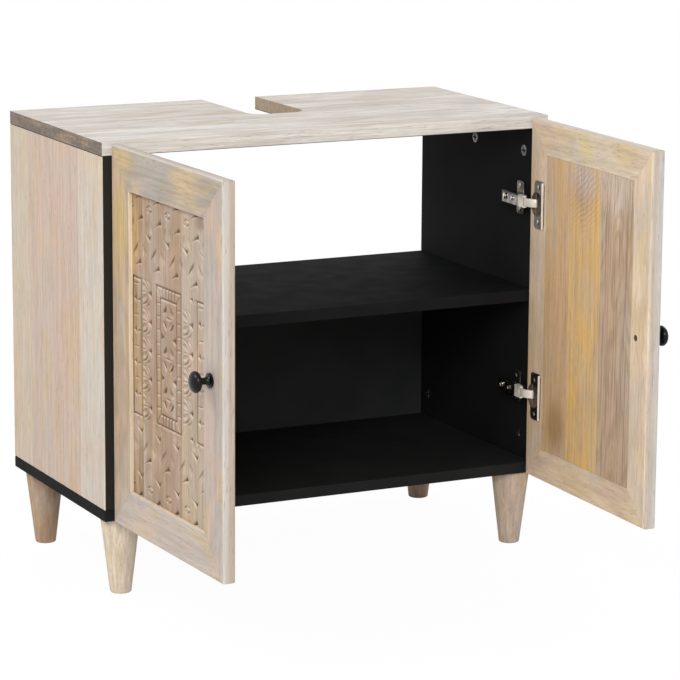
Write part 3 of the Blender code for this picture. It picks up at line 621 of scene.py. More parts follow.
def top_wood(underside):
    """The top's timber, with end grain at its ends, a washed front edge and a black underside."""
    wood = Timber("top_wood", X, seed=4.0)
    wood.colour = linear(*TOP_TONE)
    wood.patch(TOP_WARM_TINT, 0.75, 11.0, 26, 5)
    wood.patch(TOP_PALE_TINT, 0.70, 17.0, 30, 5)
    wood.patch(GREY_TINT, 0.45, 23.0, 34, 5)
    wood.rings(spacing=0.012, strength=0.10)
    wood.worn_and_lit(0.35)
    wood.colour = wood.mix(wood.looking_along(X), wood.colour, end_grain(wood))
    wood.blend(wood.times(wood.looking_along(Y), 0.6), WASHED_TINT)
    wood.grained(0.17)
    wood.lacquered(wood.spread(wood.coordinate(Z), underside + 0.6 * MM, underside + 1.2 * MM))
    return wood.finished()


def side_wood(outer, front):
    """Planks on the outer face, and black lacquer over the edges and the inner face."""
    wood = Timber("side_wood", Z, seed=9.0, planks=(front, SIDE_WIDTHS))
    wood.colour = wood.planks.tones(SIDE_TONES)
    wood.patches(yellow=0.25, pink=0.30, dull=0.25)
    wood.rings(spacing=0.013, strength=0.06)
    wood.grained(0.08)
    away = wood.number("ABSOLUTE", wood.coordinate(X))
    shown = wood.spread(away, outer - 1.3 * MM, outer - 0.7 * MM)
    wood.lacquered(shown)
    # Lacquered edges along Y paler brown-black, from rubbing and painted light
    rubbed_and_lit = wood.times(wood.looking_along(Y), wood.number("SUBTRACT", 0.8, shown))
    wood.blend(wood.number("MAXIMUM", rubbed_and_lit, 0.0), RUBBED_LIT_BLACK)
    return wood.finished(roughness=0.66, specular=0.05)


def panel_wood(door, hinge_edge):
    """Carved panel of three planks, darker where it is cut, with dark wax and painted shade."""
    widths = PANEL_WIDTHS[door.label]
    free_edge = hinge_edge - sum(widths)
    wood = Timber(f"{door.label}_panel_wood", Z, seed=5.0 + 3.0 * door.hand, planks=(free_edge, widths))
    planks = wood.planks
    inner_side = wood.inner_side(door)
    wood.colour = wood.mix(inner_side, planks.tones(PANEL_FRONT_TONES), planks.tones(PANEL_INNER_TONES))
    wood.patches(yellow=0.25, pink=0.35, dull=0.30)
    wood.spots(door, "panel")
    figure = wood.spread(inner_side, 0.0, 1.0, FRONT_FIGURE, 1.0)
    wood.rings(spacing=0.007, strength=wood.times(figure, planks.shares(PANEL_RINGS)))
    wood.flecks(wood.times(figure, planks.shares(PANEL_FLECKS)))
    if door.label == "right":
        wood.slanted(door, planks.shares(PANEL_SLANTS))
    wood.grained(0.11)
    wood.blend(wood.times(planks.seams(2.0 * MM), 0.18), PALE_TINT)
    shade_and_wax_cuts(wood)
    return wood.finished(roughness=0.64, specular=0.25)


def shade_and_wax_cuts(wood):
    """Dark wax and painted shade in the carving's cuts, painted light on their upward ledges, and painted
    light on what looks up and painted shade on what looks down.
    """
    depth = wood.add("Attribute", None, "Fac", attribute_name="carve")
    upward = wood.facing(Z)
    # Painted light on what looks up, and painted shade on what looks down
    wood.colour = wood.darken(wood.colour, upward, -0.45, 0.45, 0.74, 1.22)
    # Painted light: paler on the upward ledges of the shallower cuts
    shallow = wood.spread(depth, 0.30, 0.70, 1.0, 0.0)
    ledge = wood.times(shallow, wood.spread(upward, 0.05, 0.45))
    wood.blend(wood.times(ledge, wood.spread(depth, 0.02, 0.25, 0.0, 0.28)), PALE_TINT)
    # Dark wax and painted shade in the cuts, less of it on the upward ledges
    wax_and_shade = wood.spread(depth, 0.04, 0.75, 0.0, 0.9)
    wood.blend(wood.times(wax_and_shade, wood.spread(ledge, 0.0, 1.0, 1.0, 0.35)), CUT_TINT)


def leg_wood(leg, tone):
    wood = Timber(f"{leg}_wood", Z, seed=2.0)
    wood.colour = linear(*tone)
    wood.patches(yellow=0.25, pink=0.35, dull=0.25, across=40, along=9)
    wood.rings(spacing=0.010, strength=0.10)
    wood.grained(0.14)
    wood.worn_and_lit(0.3)
    return wood.finished()


def lacquer(name, shade, front=None):
    """Black lacquer, with painted light on the front faces: another shade there if one is given."""
    finish = Finish(name)
    roughness = finish.spread(finish.cloud(30), 0.3, 0.7, 0.66, 0.74)
    normal = finish.bump(finish.noise([6, 420, 420], 4.0), 0.06, 0.25 * MM)
    colour = finish.lacquer(shade)
    if front:
        ahead = finish.spread(finish.facing(Y), -0.8, -0.6, 1.0, 0.0)
        colour = finish.mix(ahead, colour, finish.lacquer(front))
    return finish.shade(Base_Color=colour, Roughness=roughness, Normal=normal, Specular_IOR_Level=0.025)


def plated(name, dark, bright, roughness, metallic=1.0):
    """Plated steel, finely brushed and duller in patches."""
    finish = Finish(name)
    cloud = finish.cloud(90)
    colour = finish.mix(finish.spread(cloud, 0.3, 0.7), linear(*dark), linear(*bright))
    polish = finish.spread(cloud, 0.3, 0.7, roughness + 0.10, roughness - 0.04)
    normal = finish.bump(finish.noise([2600, 2600, 120], 2.0), 0.06, 0.05 * MM)
    return finish.shade(Base_Color=colour, Metallic=metallic, Roughness=polish, Normal=normal)


def enamel():
    finish = Finish("black_enamel")
    cloud = finish.cloud(120)
    dark, bright = ENAMEL_BLACKS
    colour = finish.mix(cloud, linear(*dark), linear(*bright))
    polish = finish.spread(cloud, 0.3, 0.7, 0.12, 0.2)
    normal = finish.bump(finish.cloud(700, 2.0), 0.05, 0.1 * MM)
    return finish.shade(Base_Color=colour, Roughness=polish, Normal=normal, Specular_IOR_Level=0.22)


def paint(material, *nodes):
    for node in nodes:
        mesh = frame["nodes"][node].data
        mesh.materials.clear()
        mesh.materials.append(material)


def mesh_from(name, bm, sharp=40):
    """A mesh from bm, shaded smooth except at edges sharper than this many degrees."""
    bmesh.ops.recalc_face_normals(bm, faces=bm.faces)
    mesh = bpy.data.meshes.new(name)
    bm.to_mesh(mesh)
    bm.free()
    mesh.shade_smooth()
    mesh.set_sharp_from_angle(angle=radians(sharp))
    return mesh


def add_object(name, data):
    item = bpy.data.objects.new(name, data)
    bpy.context.scene.collection.objects.link(item)
    return item


def add_piece(mesh, material, body, place=None, stands_for=()):
    """A piece named after its mesh, that rides on a body and stands for some CAD nodes."""
    if place is not None:
        mesh.transform(place)
        if place.determinant() < 0:
            mesh.flip_normals()
    mesh.materials.append(material)
    piece = add_object(mesh.name, mesh)
    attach(piece, body)
    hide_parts(*stands_for)


def arc(centre, radii, start, end, steps=ARC_STEPS):
    """Points on an arc of an ellipse, as (radius, height), both ends included."""
    angles = [start + (end - start) * i / steps for i in range(steps + 1)]
    return [(centre[0] + radii[0] * cos(a), centre[1] + radii[1] * sin(a)) for a in angles]


def round_places(radius, steps):
    """Places round the middle, in X and Y."""
    angles = [2 * pi * i / steps for i in range(steps)]
    return [(radius * cos(a), radius * sin(a)) for a in angles]


def skin(bm, start, rings):
    """Faces from a start point to the first ring, and from each ring to the next."""
    for i in range(len(rings[0])):
        following = (i + 1) % len(rings[0])
        bm.faces.new((start, rings[0][i], rings[0][following]))
        for inner, outer in zip(rings, rings[1:]):
            bm.faces.new((inner[i], outer[i], outer[following], inner[following]))


def lathe(name, profile):
    """A shape turned on Z from a profile of (radius, height) that starts and ends on the axis."""
    bm = bmesh.new()
    rings = [[bm.verts.new((x, y, z)) for x, y in round_places(r, TURNED_STEPS)] for r, z in profile[1:-1]]
    foot, crown = [bm.verts.new((0, 0, z)) for _, z in (profile[0], profile[-1])]
    skin(bm, foot, rings)
    skin(bm, crown, rings[-1:])
    return mesh_from(name, bm)


def round_edges(bm, edges, radius, segments):
    bmesh.ops.bevel(
        bm, geom=edges, offset=radius, offset_type="OFFSET", segments=segments, profile=0.5, affect="EDGES",
        clamp_overlap=True,
    )


def softened(node, rework=None):
    """A copy of a CAD node's mesh, reworked if asked, with its sharp edges rounded."""
    bm = bmesh.new()
    bm.from_mesh(frame["nodes"][node].data)
    bmesh.ops.remove_doubles(bm, verts=bm.verts, dist=SAME_PLACE)
    bmesh.ops.dissolve_limit(bm, angle_limit=radians(1), verts=bm.verts, edges=bm.edges)
    if rework:
        rework(bm)
    sharp = [edge for edge in bm.edges if edge.calc_face_angle(0.0) > radians(40)]
    round_edges(bm, sharp, STEEL_EDGE_RADIUS, segments=2)
    return mesh_from(node + "_steel", bm, sharp=50)


def screw_head(name, radius, rise, cross, foot):
    """A domed head on Z with a cross recess. Its rim is at height 0 and its foot below."""
    bm = bmesh.new()

    def height(x, y):
        dome = rise * (1 - (x * x + y * y) / radius**2)
        narrow, wide = sorted((abs(x), abs(y)))
        inside = narrow < CROSS_HALF_WIDTH * cross and wide < cross
        return dome - (CROSS_DEPTH * cross if inside else 0.0)

    centre = bm.verts.new((0, 0, height(0, 0)))
    rings = []
    for ring in np.linspace(0, radius, SCREW_RINGS + 1)[1:]:
        places = round_places(ring, SCREW_STEPS)
        rings.append([bm.verts.new((x, y, height(x, y))) for x, y in places])
    rings.append([bm.verts.new((v.co.x, v.co.y, -foot)) for v in rings[-1]])
    skin(bm, centre, rings)
    bm.faces.new(rings[-1][::-1])
    return mesh_from(name, bm, sharp=35)


def turned_to(place, direction):
    """The way to put a shape built on Z at a place, turned to face a direction."""
    return Matrix.Translation(place) @ Vector(direction).to_track_quat("Z", "Y").to_matrix().to_4x4()


def run_between(start, end):
    """The way from a place to another, and the direction to the left of it."""
    run = end - start
    return run, np.array((-run[1], run[0])) / np.hypot(*run)


class Cuts:
    """Depth of the cuts over a grid of places on a panel, in millimetres from its middle."""

    def __init__(self, across, up):
        self.across = across
        self.up = up
        self.sharp = np.zeros((len(up), len(across)))
        self.round = np.zeros((len(up), len(across)))
        self.random = Random(CARVING_SEED)

    def window(self, grid, points, margin):
        """Rows and columns of a grid near some points, with their places."""
        low = np.min(points, axis=0) - margin
        high = np.max(points, axis=0) + margin
        columns = slice(*np.searchsorted(self.across, (low[0], high[0])))
        rows = slice(*np.searchsorted(self.up, (low[1], high[1])))
        return grid[rows, columns], self.across[columns][None, :], self.up[rows][:, None]

    def depth(self):
        return np.minimum(np.maximum(self.sharp, self.round), DEEPEST_CUT)

    def wax_and_shade(self):
        """How dark the cuts are, with dark wax and painted shade: in the sharp cuts, and not in the round
        ones.
        """
        return np.minimum(self.sharp / DARKENED_CUT, 1.0)

    def line(self, points, half_widths, slope=TOOL_SLOPE):
        """A V-shaped cut along points, as wide at each one as given."""
        ends = list(zip(points, half_widths))
        for (a, wide_a), (b, wide_b) in zip(ends, ends[1:]):
            area, s, t = self.window(self.sharp, (a, b), max(wide_a, wide_b))
            run = (b[0] - a[0], b[1] - a[1])
            share = ((s - a[0]) * run[0] + (t - a[1]) * run[1]) / (run[0] ** 2 + run[1] ** 2)
            share = np.clip(share, 0, 1)
            away = np.hypot(s - a[0] - share * run[0], t - a[1] - share * run[1])
            cut = slope * (wide_a + (wide_b - wide_a) * share - away)
            np.maximum(area, cut, out=area)

    def chip(self, *corners):
        """A three-sided pit, deepest at its middle."""
        corners = np.array(corners, float)
        middle = corners.mean(axis=0)
        area, s, t = self.window(self.sharp, corners, 0)
        cut = np.full(area.shape, np.inf)
        for a, b in zip(corners, np.roll(corners, -1, axis=0)):
            side = np.array((a[1] - b[1], b[0] - a[0]))
            reach = side @ (middle - a)
            cut = np.minimum(cut, ((s - a[0]) * side[0] + (t - a[1]) * side[1]) / reach)
        np.maximum(area, DEEPEST_CUT * cut, out=area)

    def wandered(self, place):
        """The place, off by a little, as a hand would be."""
        return tuple(value + self.random.uniform(-HAND_WANDER, HAND_WANDER) for value in place)

    def leaf(self, start, end, half_width, bow=0.0):
        """A cut that swells and thins out again, bowed to the left of its run."""
        start, end = np.array(self.wandered(start)), np.array(self.wandered(end))
        run, left = run_between(start, end)
        shares = np.linspace(0, 1, LEAF_POINTS)
        points = [tuple(start + run * share + left * bow * 4 * share * (1 - share)) for share in shares]
        self.line(points, [0.2 + half_width * sin(pi * share) for share in shares])

    def scoop(self, start, end, half_width, bow=0.0):
        """A shallow round-bottomed hollow, pointed at both ends."""
        start, end = np.array(start), np.array(end)
        run, left = run_between(start, end)
        area, s, t = self.window(self.round, (start, end), half_width + abs(bow))
        share = np.clip(((s - start[0]) * run[0] + (t - start[1]) * run[1]) / (run @ run), 0, 1)
        off = (s - start[0]) * left[0] + (t - start[1]) * left[1] - bow * 4 * share * (1 - share)
        reach = np.maximum(half_width * np.sin(pi * share), 0.01)
        cut = SCOOP_DEPTH * np.sin(pi * share) * np.clip(1 - (off / reach) ** 2, 0, 1)
        np.maximum(area, cut, out=area)

    def wings(self, apex, rise):
        """Two tapering cuts spreading from an apex, down for a rise of -1 and up for 1, and a short third."""
        x, y = self.wandered(apex)
        # The arm to the left is cut wider and longer, and so darker, than the one to the right: painted shade
        # of light from the upper left
        for reach, half_width in ((-18.0, 3.4), (11.0, 2.2)):
            points = [(x, y), (x + 0.4 * reach, y + 3.2 * rise), (x + reach, y + 9.0 * rise)]
            self.line(points, (half_width, 0.52 * half_width, 0.2))
        self.line([(x, y), (x + 1.0, y - 7.0 * rise)], (2.4, 0.3))

    def diamond(self, middle):
        x, y = middle
        corners = [(x - 9.0, y - 0.5), (x, y + 5.5), (x + 9.0, y + 0.5), (x, y - 5.5)]
        for a, b in zip(corners, corners[1:] + corners[:1]):
            self.leaf(a, b, 1.6)

    def rectangle(self, middle, half_width, half_height):
        x, y = middle
        for i in (-1, 1):
            side, level = x + half_width * i, y + half_height * i
            self.line([(x - half_width, level), (x + half_width, level)], [FRAME_LINE] * 2)
            self.line([(side, y - half_height), (side, y + half_height)], [UPRIGHT_LINE] * 2, UPRIGHT_SLOPE)


def carve_field(cuts, up):
    """The chevrons and leaves above (up 1) or below (up -1) the middle band, from its edge outwards."""
    edge = BAND_HEIGHT * up
    for k in range(MOTIF_COUNT):
        here = FIRST_MOTIF + MOTIF_PITCH * k
        between = here - MOTIF_PITCH / 2
        arrow, opposite = (here, between)[::up]
        low, half_width = (edge + 22.0, 1.9) if up > 0 else (edge - 53.0, 1.4)
        cuts.wings((arrow, low), -1)
        cuts.leaf((arrow - 24.0, low + 3.0), (arrow - 3.0, low + 26.0), half_width, 1.2)
        cuts.leaf((arrow + 3.0, low + 26.0), (arrow + 22.0, low + 6.0), half_width, 1.2)
        for side in (-1, 1):
            cuts.scoop((arrow + 14.0 * side, low + 4.0), (arrow + 4.0 * side, low + 22.0), 5.0, -2.0 * side)
            cuts.scoop((opposite + 10.0 * side, low + 36.0), (opposite + 4.0 * side, low + 56.0), 5.0)
        cuts.wings((opposite, low + 33.0), 1)
        aside, to_diamond, farthest = (5.0, 92.0, 106.0) if up > 0 else (0.0, 91.0, 102.0)
        cuts.wings((here + aside, edge + 79.0 * up), -up)
        cuts.diamond((between, edge + to_diamond * up))
        cuts.wings((here, edge + farthest * up), -1)


def carve_rosette(cuts, middle):
    """Four leaves round a diamond, with a short stroke through it."""
    x, y = middle
    for i in (-1, 1):
        for j in (-1, 1):
            cuts.leaf((x + 17.0 * i, y + 4.0 * j), (x + 4.0 * i, y + 17.0 * j), 2.8, 1.2 * i * j)
            cuts.scoop((x + 12.0 * i, y + 2.0 * j), (x + 2.0 * i, y + 12.0 * j), 4.0)
    cuts.leaf((x - 12.0, y), (x + 12.0, y), 1.6)


def carve_middle_frame(cuts):
    """The framed strip in the middle: a border of small squares round three rosettes."""
    outer, inner = (36.0, BAND_HEIGHT), (23.5, BAND_HEIGHT - 14.0)
    cuts.rectangle((0, 0), *outer)
    cuts.rectangle((0, 0), *inner)
    for i in (-1, 1):
        for j in (-1, 1):
            corners = [(inner[0] * i, inner[1] * j), (outer[0] * i, outer[1] * j)]
            cuts.line(corners, [TICK_LINE] * 2)
        for k in range(-4, 5):
            ends = [cuts.wandered((side * i, 16.6 * k)) for side in (inner[0], outer[0])]
            cuts.line(ends, [TICK_LINE] * 2)
        for k in range(-2, 3):
            ends = [cuts.wandered((8.6 * k, side * i)) for side in (inner[1], outer[1])]
            cuts.line(ends, [HATCH_LINE] * 2)
    for middle in (-51.0, 0.0, 51.0):
        carve_rosette(cuts, (0.0, middle))
    for x in (-1, 1):
        for y in (-26.0, 26.0):
            cuts.chip((22.5 * x, y - 6.5 * x), (22.5 * x, y + 6.5 * x), (10.5 * x, y))


def carve_leaf_column(cuts, base, rows):
    """Chips one above the other at the base, each with leaves that open towards the tip."""
    tip = base - LEAF_REACH
    for y in rows:
        cuts.chip((base, y - 6.5), (base + 1.0, y + 6.5), (base - 11.5, y))
        for j in (-1, 1):
            cuts.leaf((base - 9.0, y + 4.0 * j), (tip, y + 17.0 * j), 1.7, -2.5 * j)
            cuts.leaf((base - 3.0, y + 8.0 * j), (tip + 13.0, y + 18.0 * j), 1.3, -1.5 * j)
            cuts.scoop((base - 12.0, y + 1.5 * j), (tip, y + 9.0 * j), 4.5, -1.5 * j)
        cuts.leaf((base - 13.0, y), (tip + 2.0, y), 1.3)


def carve_side_frame(cuts, start):
    """A narrow frame beside the panel's edge, with chips and short strokes in it."""
    cuts.rectangle((start + 12.5, 0), 12.5, BAND_HEIGHT)
    for y in (-61.0, -20.5, 20.5, 61.0):
        cuts.chip((start + 12.0, y - 6.5), (start + 12.0, y + 6.5), (start + 3.0, y))
        cuts.leaf((start + 14.0, y - 1.0), (start + 23.0, y + 1.5), 2.0)
        cuts.leaf((start + 4.0, y + 19.5), (start + 21.0, y + 21.0), 1.5)


def carve_panel(cuts):
    """A middle band of frames and leaves, and a field above and below it."""
    carve_middle_frame(cuts)
    carve_leaf_column(cuts, LEFT_LEAVES, [LEAF_PITCH * k for k in range(-2, 3)])
    carve_leaf_column(cuts, RIGHT_LEAVES, [LEAF_PITCH * (k + 0.5) for k in range(-2, 2)])
    for j in (-1, 1):
        levels = [(BAND_HEIGHT + rise) * j for rise in (-6.0, 0.0, 3.0)]
        corners = list(zip((RIGHT_LEAVES, RIGHT_LEAVES - 10.0, RIGHT_LEAVES), levels))
        cuts.chip(*corners[::j])
    for start in SIDE_FRAMES:
        carve_side_frame(cuts, start)
    for x in (-42.5, 77.5):
        cuts.line([(x, -BAND_HEIGHT), (x, BAND_HEIGHT)], [TICK_LINE] * 2)
    carve_field(cuts, 1)
    carve_field(cuts, -1)
    # A cut along the panel's top edge under the rail, darkened like the others: painted shadow of the rail
    top = cuts.up[-1] - PANEL_TONGUE
    cuts.line([(cuts.across[0], top), (cuts.across[-1], top)], [FRAME_LINE] * 2)


def panel_mesh(name, door):
    """A closed block whose front is a fine grid, cut to the carving's depth."""
    low, high = door.box("door_panel")
    counts = [round((high[i] - low[i]) / (CARVING_PITCH * MM)) for i in (0, 2)]
    us = np.linspace(low[0], high[0], counts[0] + 1)
    vs = np.linspace(low[2], high[2], counts[1] + 1)
    cuts = Cuts((us - us.mean()) / MM - CARVING_SHIFT[0], (vs - vs.mean()) / MM - CARVING_SHIFT[1])
    carve_panel(cuts)
    depth = cuts.depth()
    grid_u, grid_v = np.meshgrid(us, vs)
    front = np.stack([grid_u, high[1] - depth * MM, grid_v], axis=-1)
    index = np.arange(depth.size).reshape(depth.shape)
    quads = np.stack([index[:-1, :-1], index[:-1, 1:], index[1:, 1:], index[1:, :-1]], axis=-1).reshape(-1, 4)
    rim = np.concatenate([index[0, :-1], index[:-1, -1], index[-1, :0:-1], index[:0:-1, 0]])
    back = front.reshape(-1, 3)[rim].copy()
    back[:, 1] = low[1]
    behind = depth.size + np.arange(len(rim))
    walls = np.stack([np.roll(rim, -1), rim, behind, np.roll(behind, -1)], axis=-1)
    mesh = bpy.data.meshes.new(name)
    points = np.concatenate([front.reshape(-1, 3), back])
    mesh.from_pydata(points.tolist(), [], quads.tolist() + walls.tolist() + [behind[::-1].tolist()])
    carve = mesh.attributes.new("carve", "FLOAT", "POINT")
    shares = np.concatenate([cuts.wax_and_shade().ravel(), np.zeros(len(rim))])
    carve.data.foreach_set("value", shares.astype(np.float32))
    mesh.shade_smooth()
    mesh.set_sharp_from_angle(angle=radians(60))
    return mesh


def dress_boards():
    top_low, top_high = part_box("top_board")
    paint(top_wood(top_low.z), "top_board")
    paint(side_wood(top_high.x, top_low.y), "left_side_panel", "right_side_panel")
    # The shelf's and back panel's front faces are painted lighter: painted light
    paint(lacquer("shelf_lacquer", DEEP_BLACK, BLACK), "shelf")
    paint(lacquer("back_lacquer", BLACK, BACK_LIT_BLACK), "back_panel")
    paint(lacquer("floor_lacquer", FLOOR_BLACK), "bottom_board")


def dress_legs():
    for leg, tone in LEG_TONES_WITH_SHADE.items():
        low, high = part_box(leg)
        middle = (low + high) / 2
        top = (high.x - low.x) / 2
        edge = (LEG_EDGE_RADIUS, LEG_EDGE_RADIUS)
        lower = arc((LEG_FOOT_RADIUS - edge[0], low.z + edge[1]), edge, -pi / 2, 0)
        upper = arc((top - edge[0], high.z - edge[1]), edge, 0, pi / 2)
        place = Matrix.Translation((middle.x, middle.y, 0))
        mesh = lathe(leg + "_turned", [(0, low.z), *lower, *upper, (0, high.z)])
        add_piece(mesh, leg_wood(leg, tone), "carcass", place, [leg])


def knob_profile(height):
    """From the middle of the base, out over its flare, in to the neck and round the head."""
    widest = height - KNOB_CROWN_HEIGHT
    edge = (KNOB_EDGE_RADIUS, KNOB_EDGE_RADIUS)
    base = arc((KNOB_BASE_RADIUS - edge[0], edge[1]), edge, -pi / 2, 0, KNOB_EDGE_STEPS)
    radii = (KNOB_BASE_RADIUS - KNOB_NECK_RADIUS, KNOB_FLARE_HEIGHT)
    flare = arc((KNOB_BASE_RADIUS, KNOB_BASE_HEIGHT + KNOB_FLARE_HEIGHT), radii, -pi / 2, -pi)
    radii = (KNOB_HEAD_RADIUS - KNOB_NECK_RADIUS, KNOB_UNDERSIDE_HEIGHT)
    underside = arc((KNOB_NECK_RADIUS, widest), radii, -pi / 2, 0)
    crown = arc((0, widest), (KNOB_HEAD_RADIUS, KNOB_CROWN_HEIGHT), 0, pi / 2)
    return [(0, 0), *base, *flare, *underside, *crown[1:]]


def dress_knob(door, material):
    low, high = door.box("knob")
    middle = (low + high) / 2
    place = door.place @ turned_to((middle.x, low.y, middle.z), (0, 1, 0))
    mesh = lathe(f"{door.label}_knob_turned", knob_profile(high.y - low.y))
    add_piece(mesh, material, door.body, place, [f"{door.label}_knob"])


def dress_door(door, metals, black):
    wood = panel_wood(door, door.place.translation.y)
    panel = panel_mesh(f"{door.label}_carved_panel", door)
    add_piece(panel, wood, door.body, door.place, [f"{door.label}_door_panel"])
    for seed, part in enumerate(FRAME_TONES):
        paint(frame_wood(door, part, 31.0 * seed + 7.0 * door.hand), f"{door.label}_door_{part}")
    # The knob screw is dark, as painted shade in its hole
    paint(metals["shade_black"], f"{door.label}_knob_screw")
    dress_knob(door, black)
    for row in HINGE_ROWS:
        dress_hinge(door, row, metals)


def trough(bm, inward):
    """Sinks the arm's inward face between two rims, and parts off the nose."""
    faces = [face for face in bm.faces if face.normal.dot(inward) > 0.99]
    widest = max(faces, key=lambda face: face.calc_area())
    bmesh.ops.inset_region(bm, faces=[widest], thickness=ARM_RIM, depth=-ARM_TROUGH)
    geometry = bm.verts[:] + bm.edges[:] + bm.faces[:]
    bmesh.ops.bisect_plane(bm, geom=geometry, plane_co=(0, ARM_NOSE_BACK, 0), plane_no=(0, 1, 0))


def repaint(mesh, material, chosen):
    """Gives another material to the faces of a mesh whose middles are chosen."""
    mesh.materials.append(material)
    for face in mesh.polygons:
        if chosen(face.center):
            face.material_index = len(mesh.materials) - 1


def add_screw(name, place, direction, size, material, body):
    radius, rise, cross = size
    mesh = screw_head(name, radius, rise, cross, rise)
    add_piece(mesh, material, body, turned_to(place, direction))


def add_fixing_screws(name, middle, spacing, direction, material, body, axes=Matrix()):
    """Two screws, one above the other. Their middle and direction are in these axes."""
    x, y, z = middle
    for label, side in ENDS.items():
        place = axes @ Vector((x, y, z + side * spacing / 2))
        turn = axes.to_3x3() @ Vector(direction)
        add_screw(f"{name}_{label}_screw", place, turn, FIXING_SCREW, material, body)


def dress_hinge(door, row, metals):
    """Steel arm, plate and link with soft edges, and the screws and lip that the hinge shows."""
    hinge = f"{door.label}_{row}_hinge"
    inward = Vector((-door.hand, 0, 0))

    def dress(part, metal, body, rework=None):
        mesh = softened(f"{hinge}_{part}", rework)
        add_piece(mesh, metals[metal], body, stands_for=[f"{hinge}_{part}"])
        return mesh

    arm = dress("arm", "arm", "carcass", lambda bm: trough(bm, inward))
    repaint(arm, metals["nose"], lambda middle: middle.y < ARM_NOSE_BACK)
    dress("plate", "dull", "carcass")
    dress("link", "nose", f"{door.label}_hinge_links")
    dress_arm_screws(door, hinge, inward, metals["bright"])
    dress_cup(door, row, metals)


def dress_arm_screws(door, hinge, inward, bright):
    low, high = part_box(hinge + "_arm")
    face = high.x if door.hand < 0 else low.x
    middle = (low.z + high.z) / 2
    for label, (from_rear, size) in ARM_SCREWS.items():
        place = Vector((face, high.y - from_rear, middle)) - inward * ARM_TROUGH
        add_screw(f"{hinge}_{label}_screw", place, inward, size, bright, "carcass")
    low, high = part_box(hinge + "_plate")
    wing = (low.x if door.hand < 0 else high.x) - door.hand * WING_THICKNESS
    middle = (wing, PLATE_SCREW_BACK, (low.z + high.z) / 2)
    add_fixing_screws(hinge + "_plate", middle, PLATE_SCREW_SPACING, inward, bright, "carcass")


def flange_lip(name, middle, length):
    """A thin upright strip with rounded edges."""
    bm = bmesh.new()
    bmesh.ops.create_cube(bm, size=1.0)
    bmesh.ops.scale(bm, vec=(LIP_THICKNESS, LIP_HEIGHT, length), verts=bm.verts)
    round_edges(bm, bm.edges[:], LIP_EDGE_RADIUS, segments=3)
    bmesh.ops.translate(bm, vec=middle, verts=bm.verts)
    return mesh_from(name, bm)


def dress_cup(door, row, metals):
    """The cup, with the flange's folded lip and its two screws."""
    hinge = f"{door.label}_{row}_hinge"
    low, high = door.box(f"{row}_hinge_cup")
    middle = (low.z + high.z) / 2
    paint(metals["dull"], hinge + "_cup")
    back = door.place.inverted()
    inside = low.y + FLANGE_DEPTH
    repaint(frame["nodes"][hinge + "_cup"].data, metals["cup"], lambda place: (back @ place).y > inside)
    lip_middle = (high.x - LIP_THICKNESS / 2, low.y - LIP_HEIGHT / 2 + LIP_SINK, middle)
    lip = flange_lip(hinge + "_flange_lip", lip_middle, high.z - low.z - 2 * LIP_SETBACK)
    add_piece(lip, metals["satin"], door.body, door.place)
    screws = (high.x - CUP_SCREW_INSET, low.y, middle)
    bright = metals["bright"]
    add_fixing_screws(hinge + "_cup", screws, CUP_SCREW_SPACING, (0, -1, 0), bright, door.body, door.place)


def dress_cam(cam, inward, zinc, dark):
    """A cam nut with a cross in its face, painted dark as painted shade, and its bolt."""
    low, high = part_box(cam + "_nut")
    middle = (low + high) / 2
    face = high.x if inward.x > 0 else low.x
    front = Vector((face, middle.y, middle.z)) - inward * CAM_SETBACK
    foot = high.x - low.x - CAM_SETBACK
    mesh = screw_head(cam + "_face", (high.z - low.z) / 2, CAM_RISE, CAM_CROSS, foot)
    add_piece(mesh, zinc, "carcass", turned_to(front, inward), [cam + "_nut"])
    # Painted shade in the cross recess
    repaint(mesh, dark, lambda place: (place - front).dot(inward) < -CAM_DARK_DEPTH)
    paint(zinc, cam + "_bolt")


def dress_fixings(zinc, dark):
    """The cams that hold the boards together, and the legs' bolts."""
    for label, hand in HANDS.items():
        for row in ("front", "rear"):
            paint(zinc, f"{row}_{label}_leg_bolt")
        for level in ENDS:
            for row in ("front", "rear"):
                dress_cam(f"{label}_{level}_{row}_cam", Vector((-hand, 0, 0)), zinc, dark)


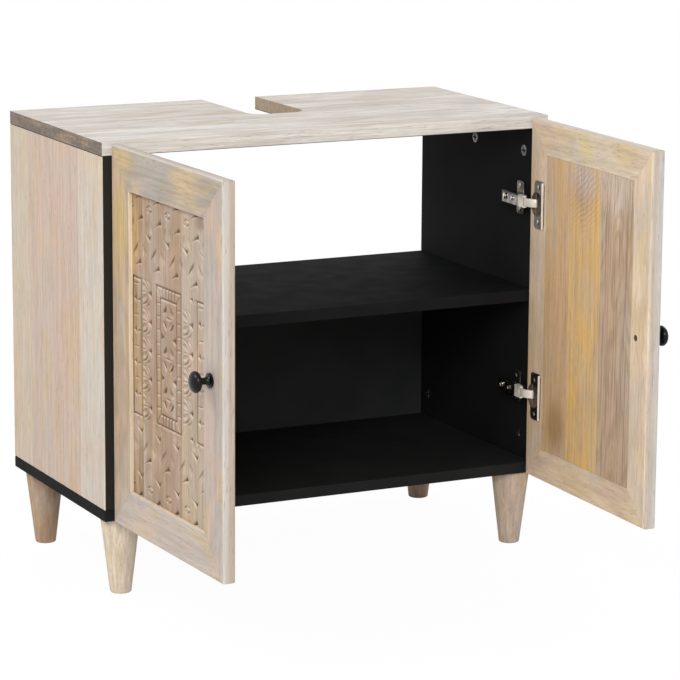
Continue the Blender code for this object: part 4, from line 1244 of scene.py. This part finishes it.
def add_floor():
    """A pale floor, shown white but for a little of the object's shadow."""
    bm = bmesh.new()
    bmesh.ops.create_grid(bm, x_segments=1, y_segments=1, size=FLOOR_HALF_WIDTH)
    bmesh.ops.translate(bm, vec=(0, 0, -FLOOR_DROP), verts=bm.verts)
    mesh = bpy.data.meshes.new("floor")
    bm.to_mesh(mesh)
    bm.free()
    finish = Finish("floor")
    finish.shade(Base_Color=linear(*FLOOR_COLOUR), Roughness=0.9)
    white = finish.add("Emission", {"Color": grey(1.0), "Strength": 1.0})
    whiteness = finish.spread(finish.length(finish.place), *SHADOW_REACH, WHITE_IN_SHADOW, 1.0)
    share = finish.times(finish.seen(), whiteness)
    blend = finish.add("MixShader", {0: share, 1: finish.shader.outputs[0], 2: white})
    finish.feed(finish.tree.nodes["Material Output"].inputs["Surface"], blend)
    mesh.materials.append(finish.material)
    add_object("floor", mesh)


def add_world():
    """White behind the object and in reflections, and even soft light for everything else."""
    world = bpy.data.worlds.new("studio")
    bpy.context.scene.world = world
    world.use_nodes = True
    nodes = Nodes(world.node_tree)
    light = nodes.tree.nodes["Background"]
    nodes.feed(light.inputs["Color"], grey(1.0))
    nodes.feed(light.inputs["Strength"], WORLD_LIGHT)
    backdrop = nodes.add("Background", {"Color": grey(1.0)})
    blend = nodes.add("MixShader", {0: nodes.seen(), 1: light.outputs[0], 2: backdrop})
    nodes.feed(nodes.tree.nodes["World Output"].inputs["Surface"], blend)


def add_lamp(name, place, size, power):
    lamp = bpy.data.lights.new(name, "AREA")
    lamp.shape = "DISK"
    lamp.size = size
    lamp.energy = power
    holder = add_object(name, lamp)
    holder.location = place
    holder.rotation_euler = (Vector(LAMP_TARGET) - Vector(place)).to_track_quat("-Z", "Y").to_euler()


def add_camera():
    camera = bpy.data.cameras.new("camera")
    camera.lens = CAMERA_LENS
    holder = add_object("camera", camera)
    level = cos(CAMERA_FALL)
    forward = Vector((sin(CAMERA_TURN) * level, cos(CAMERA_TURN) * level, -sin(CAMERA_FALL)))
    right = Vector((cos(CAMERA_TURN), -sin(CAMERA_TURN), 0))
    up = right.cross(forward)
    tilted_right = right * cos(CAMERA_ROLL) + up * sin(CAMERA_ROLL)
    tilted_up = up * cos(CAMERA_ROLL) - right * sin(CAMERA_ROLL)
    turn = Matrix((tilted_right, tilted_up, -forward)).transposed().to_4x4()
    holder.matrix_world = Matrix.Translation(CAMERA_PLACE) @ turn
    bpy.context.scene.camera = holder


def set_stage():
    bpy.context.scene.view_settings.view_transform = "Standard"
    add_floor()
    add_world()
    for name, lamp in LAMPS.items():
        add_lamp(name, *lamp)
    add_camera()


def main():
    metals = {label: plated(*metal) for label, metal in METALS.items()}
    black = enamel()
    dress_boards()
    dress_legs()
    dress_fixings(metals["zinc"], metals["shade_black"])
    for label in HANDS:
        dress_door(Door(label), metals, black)
    set_stage()


main()
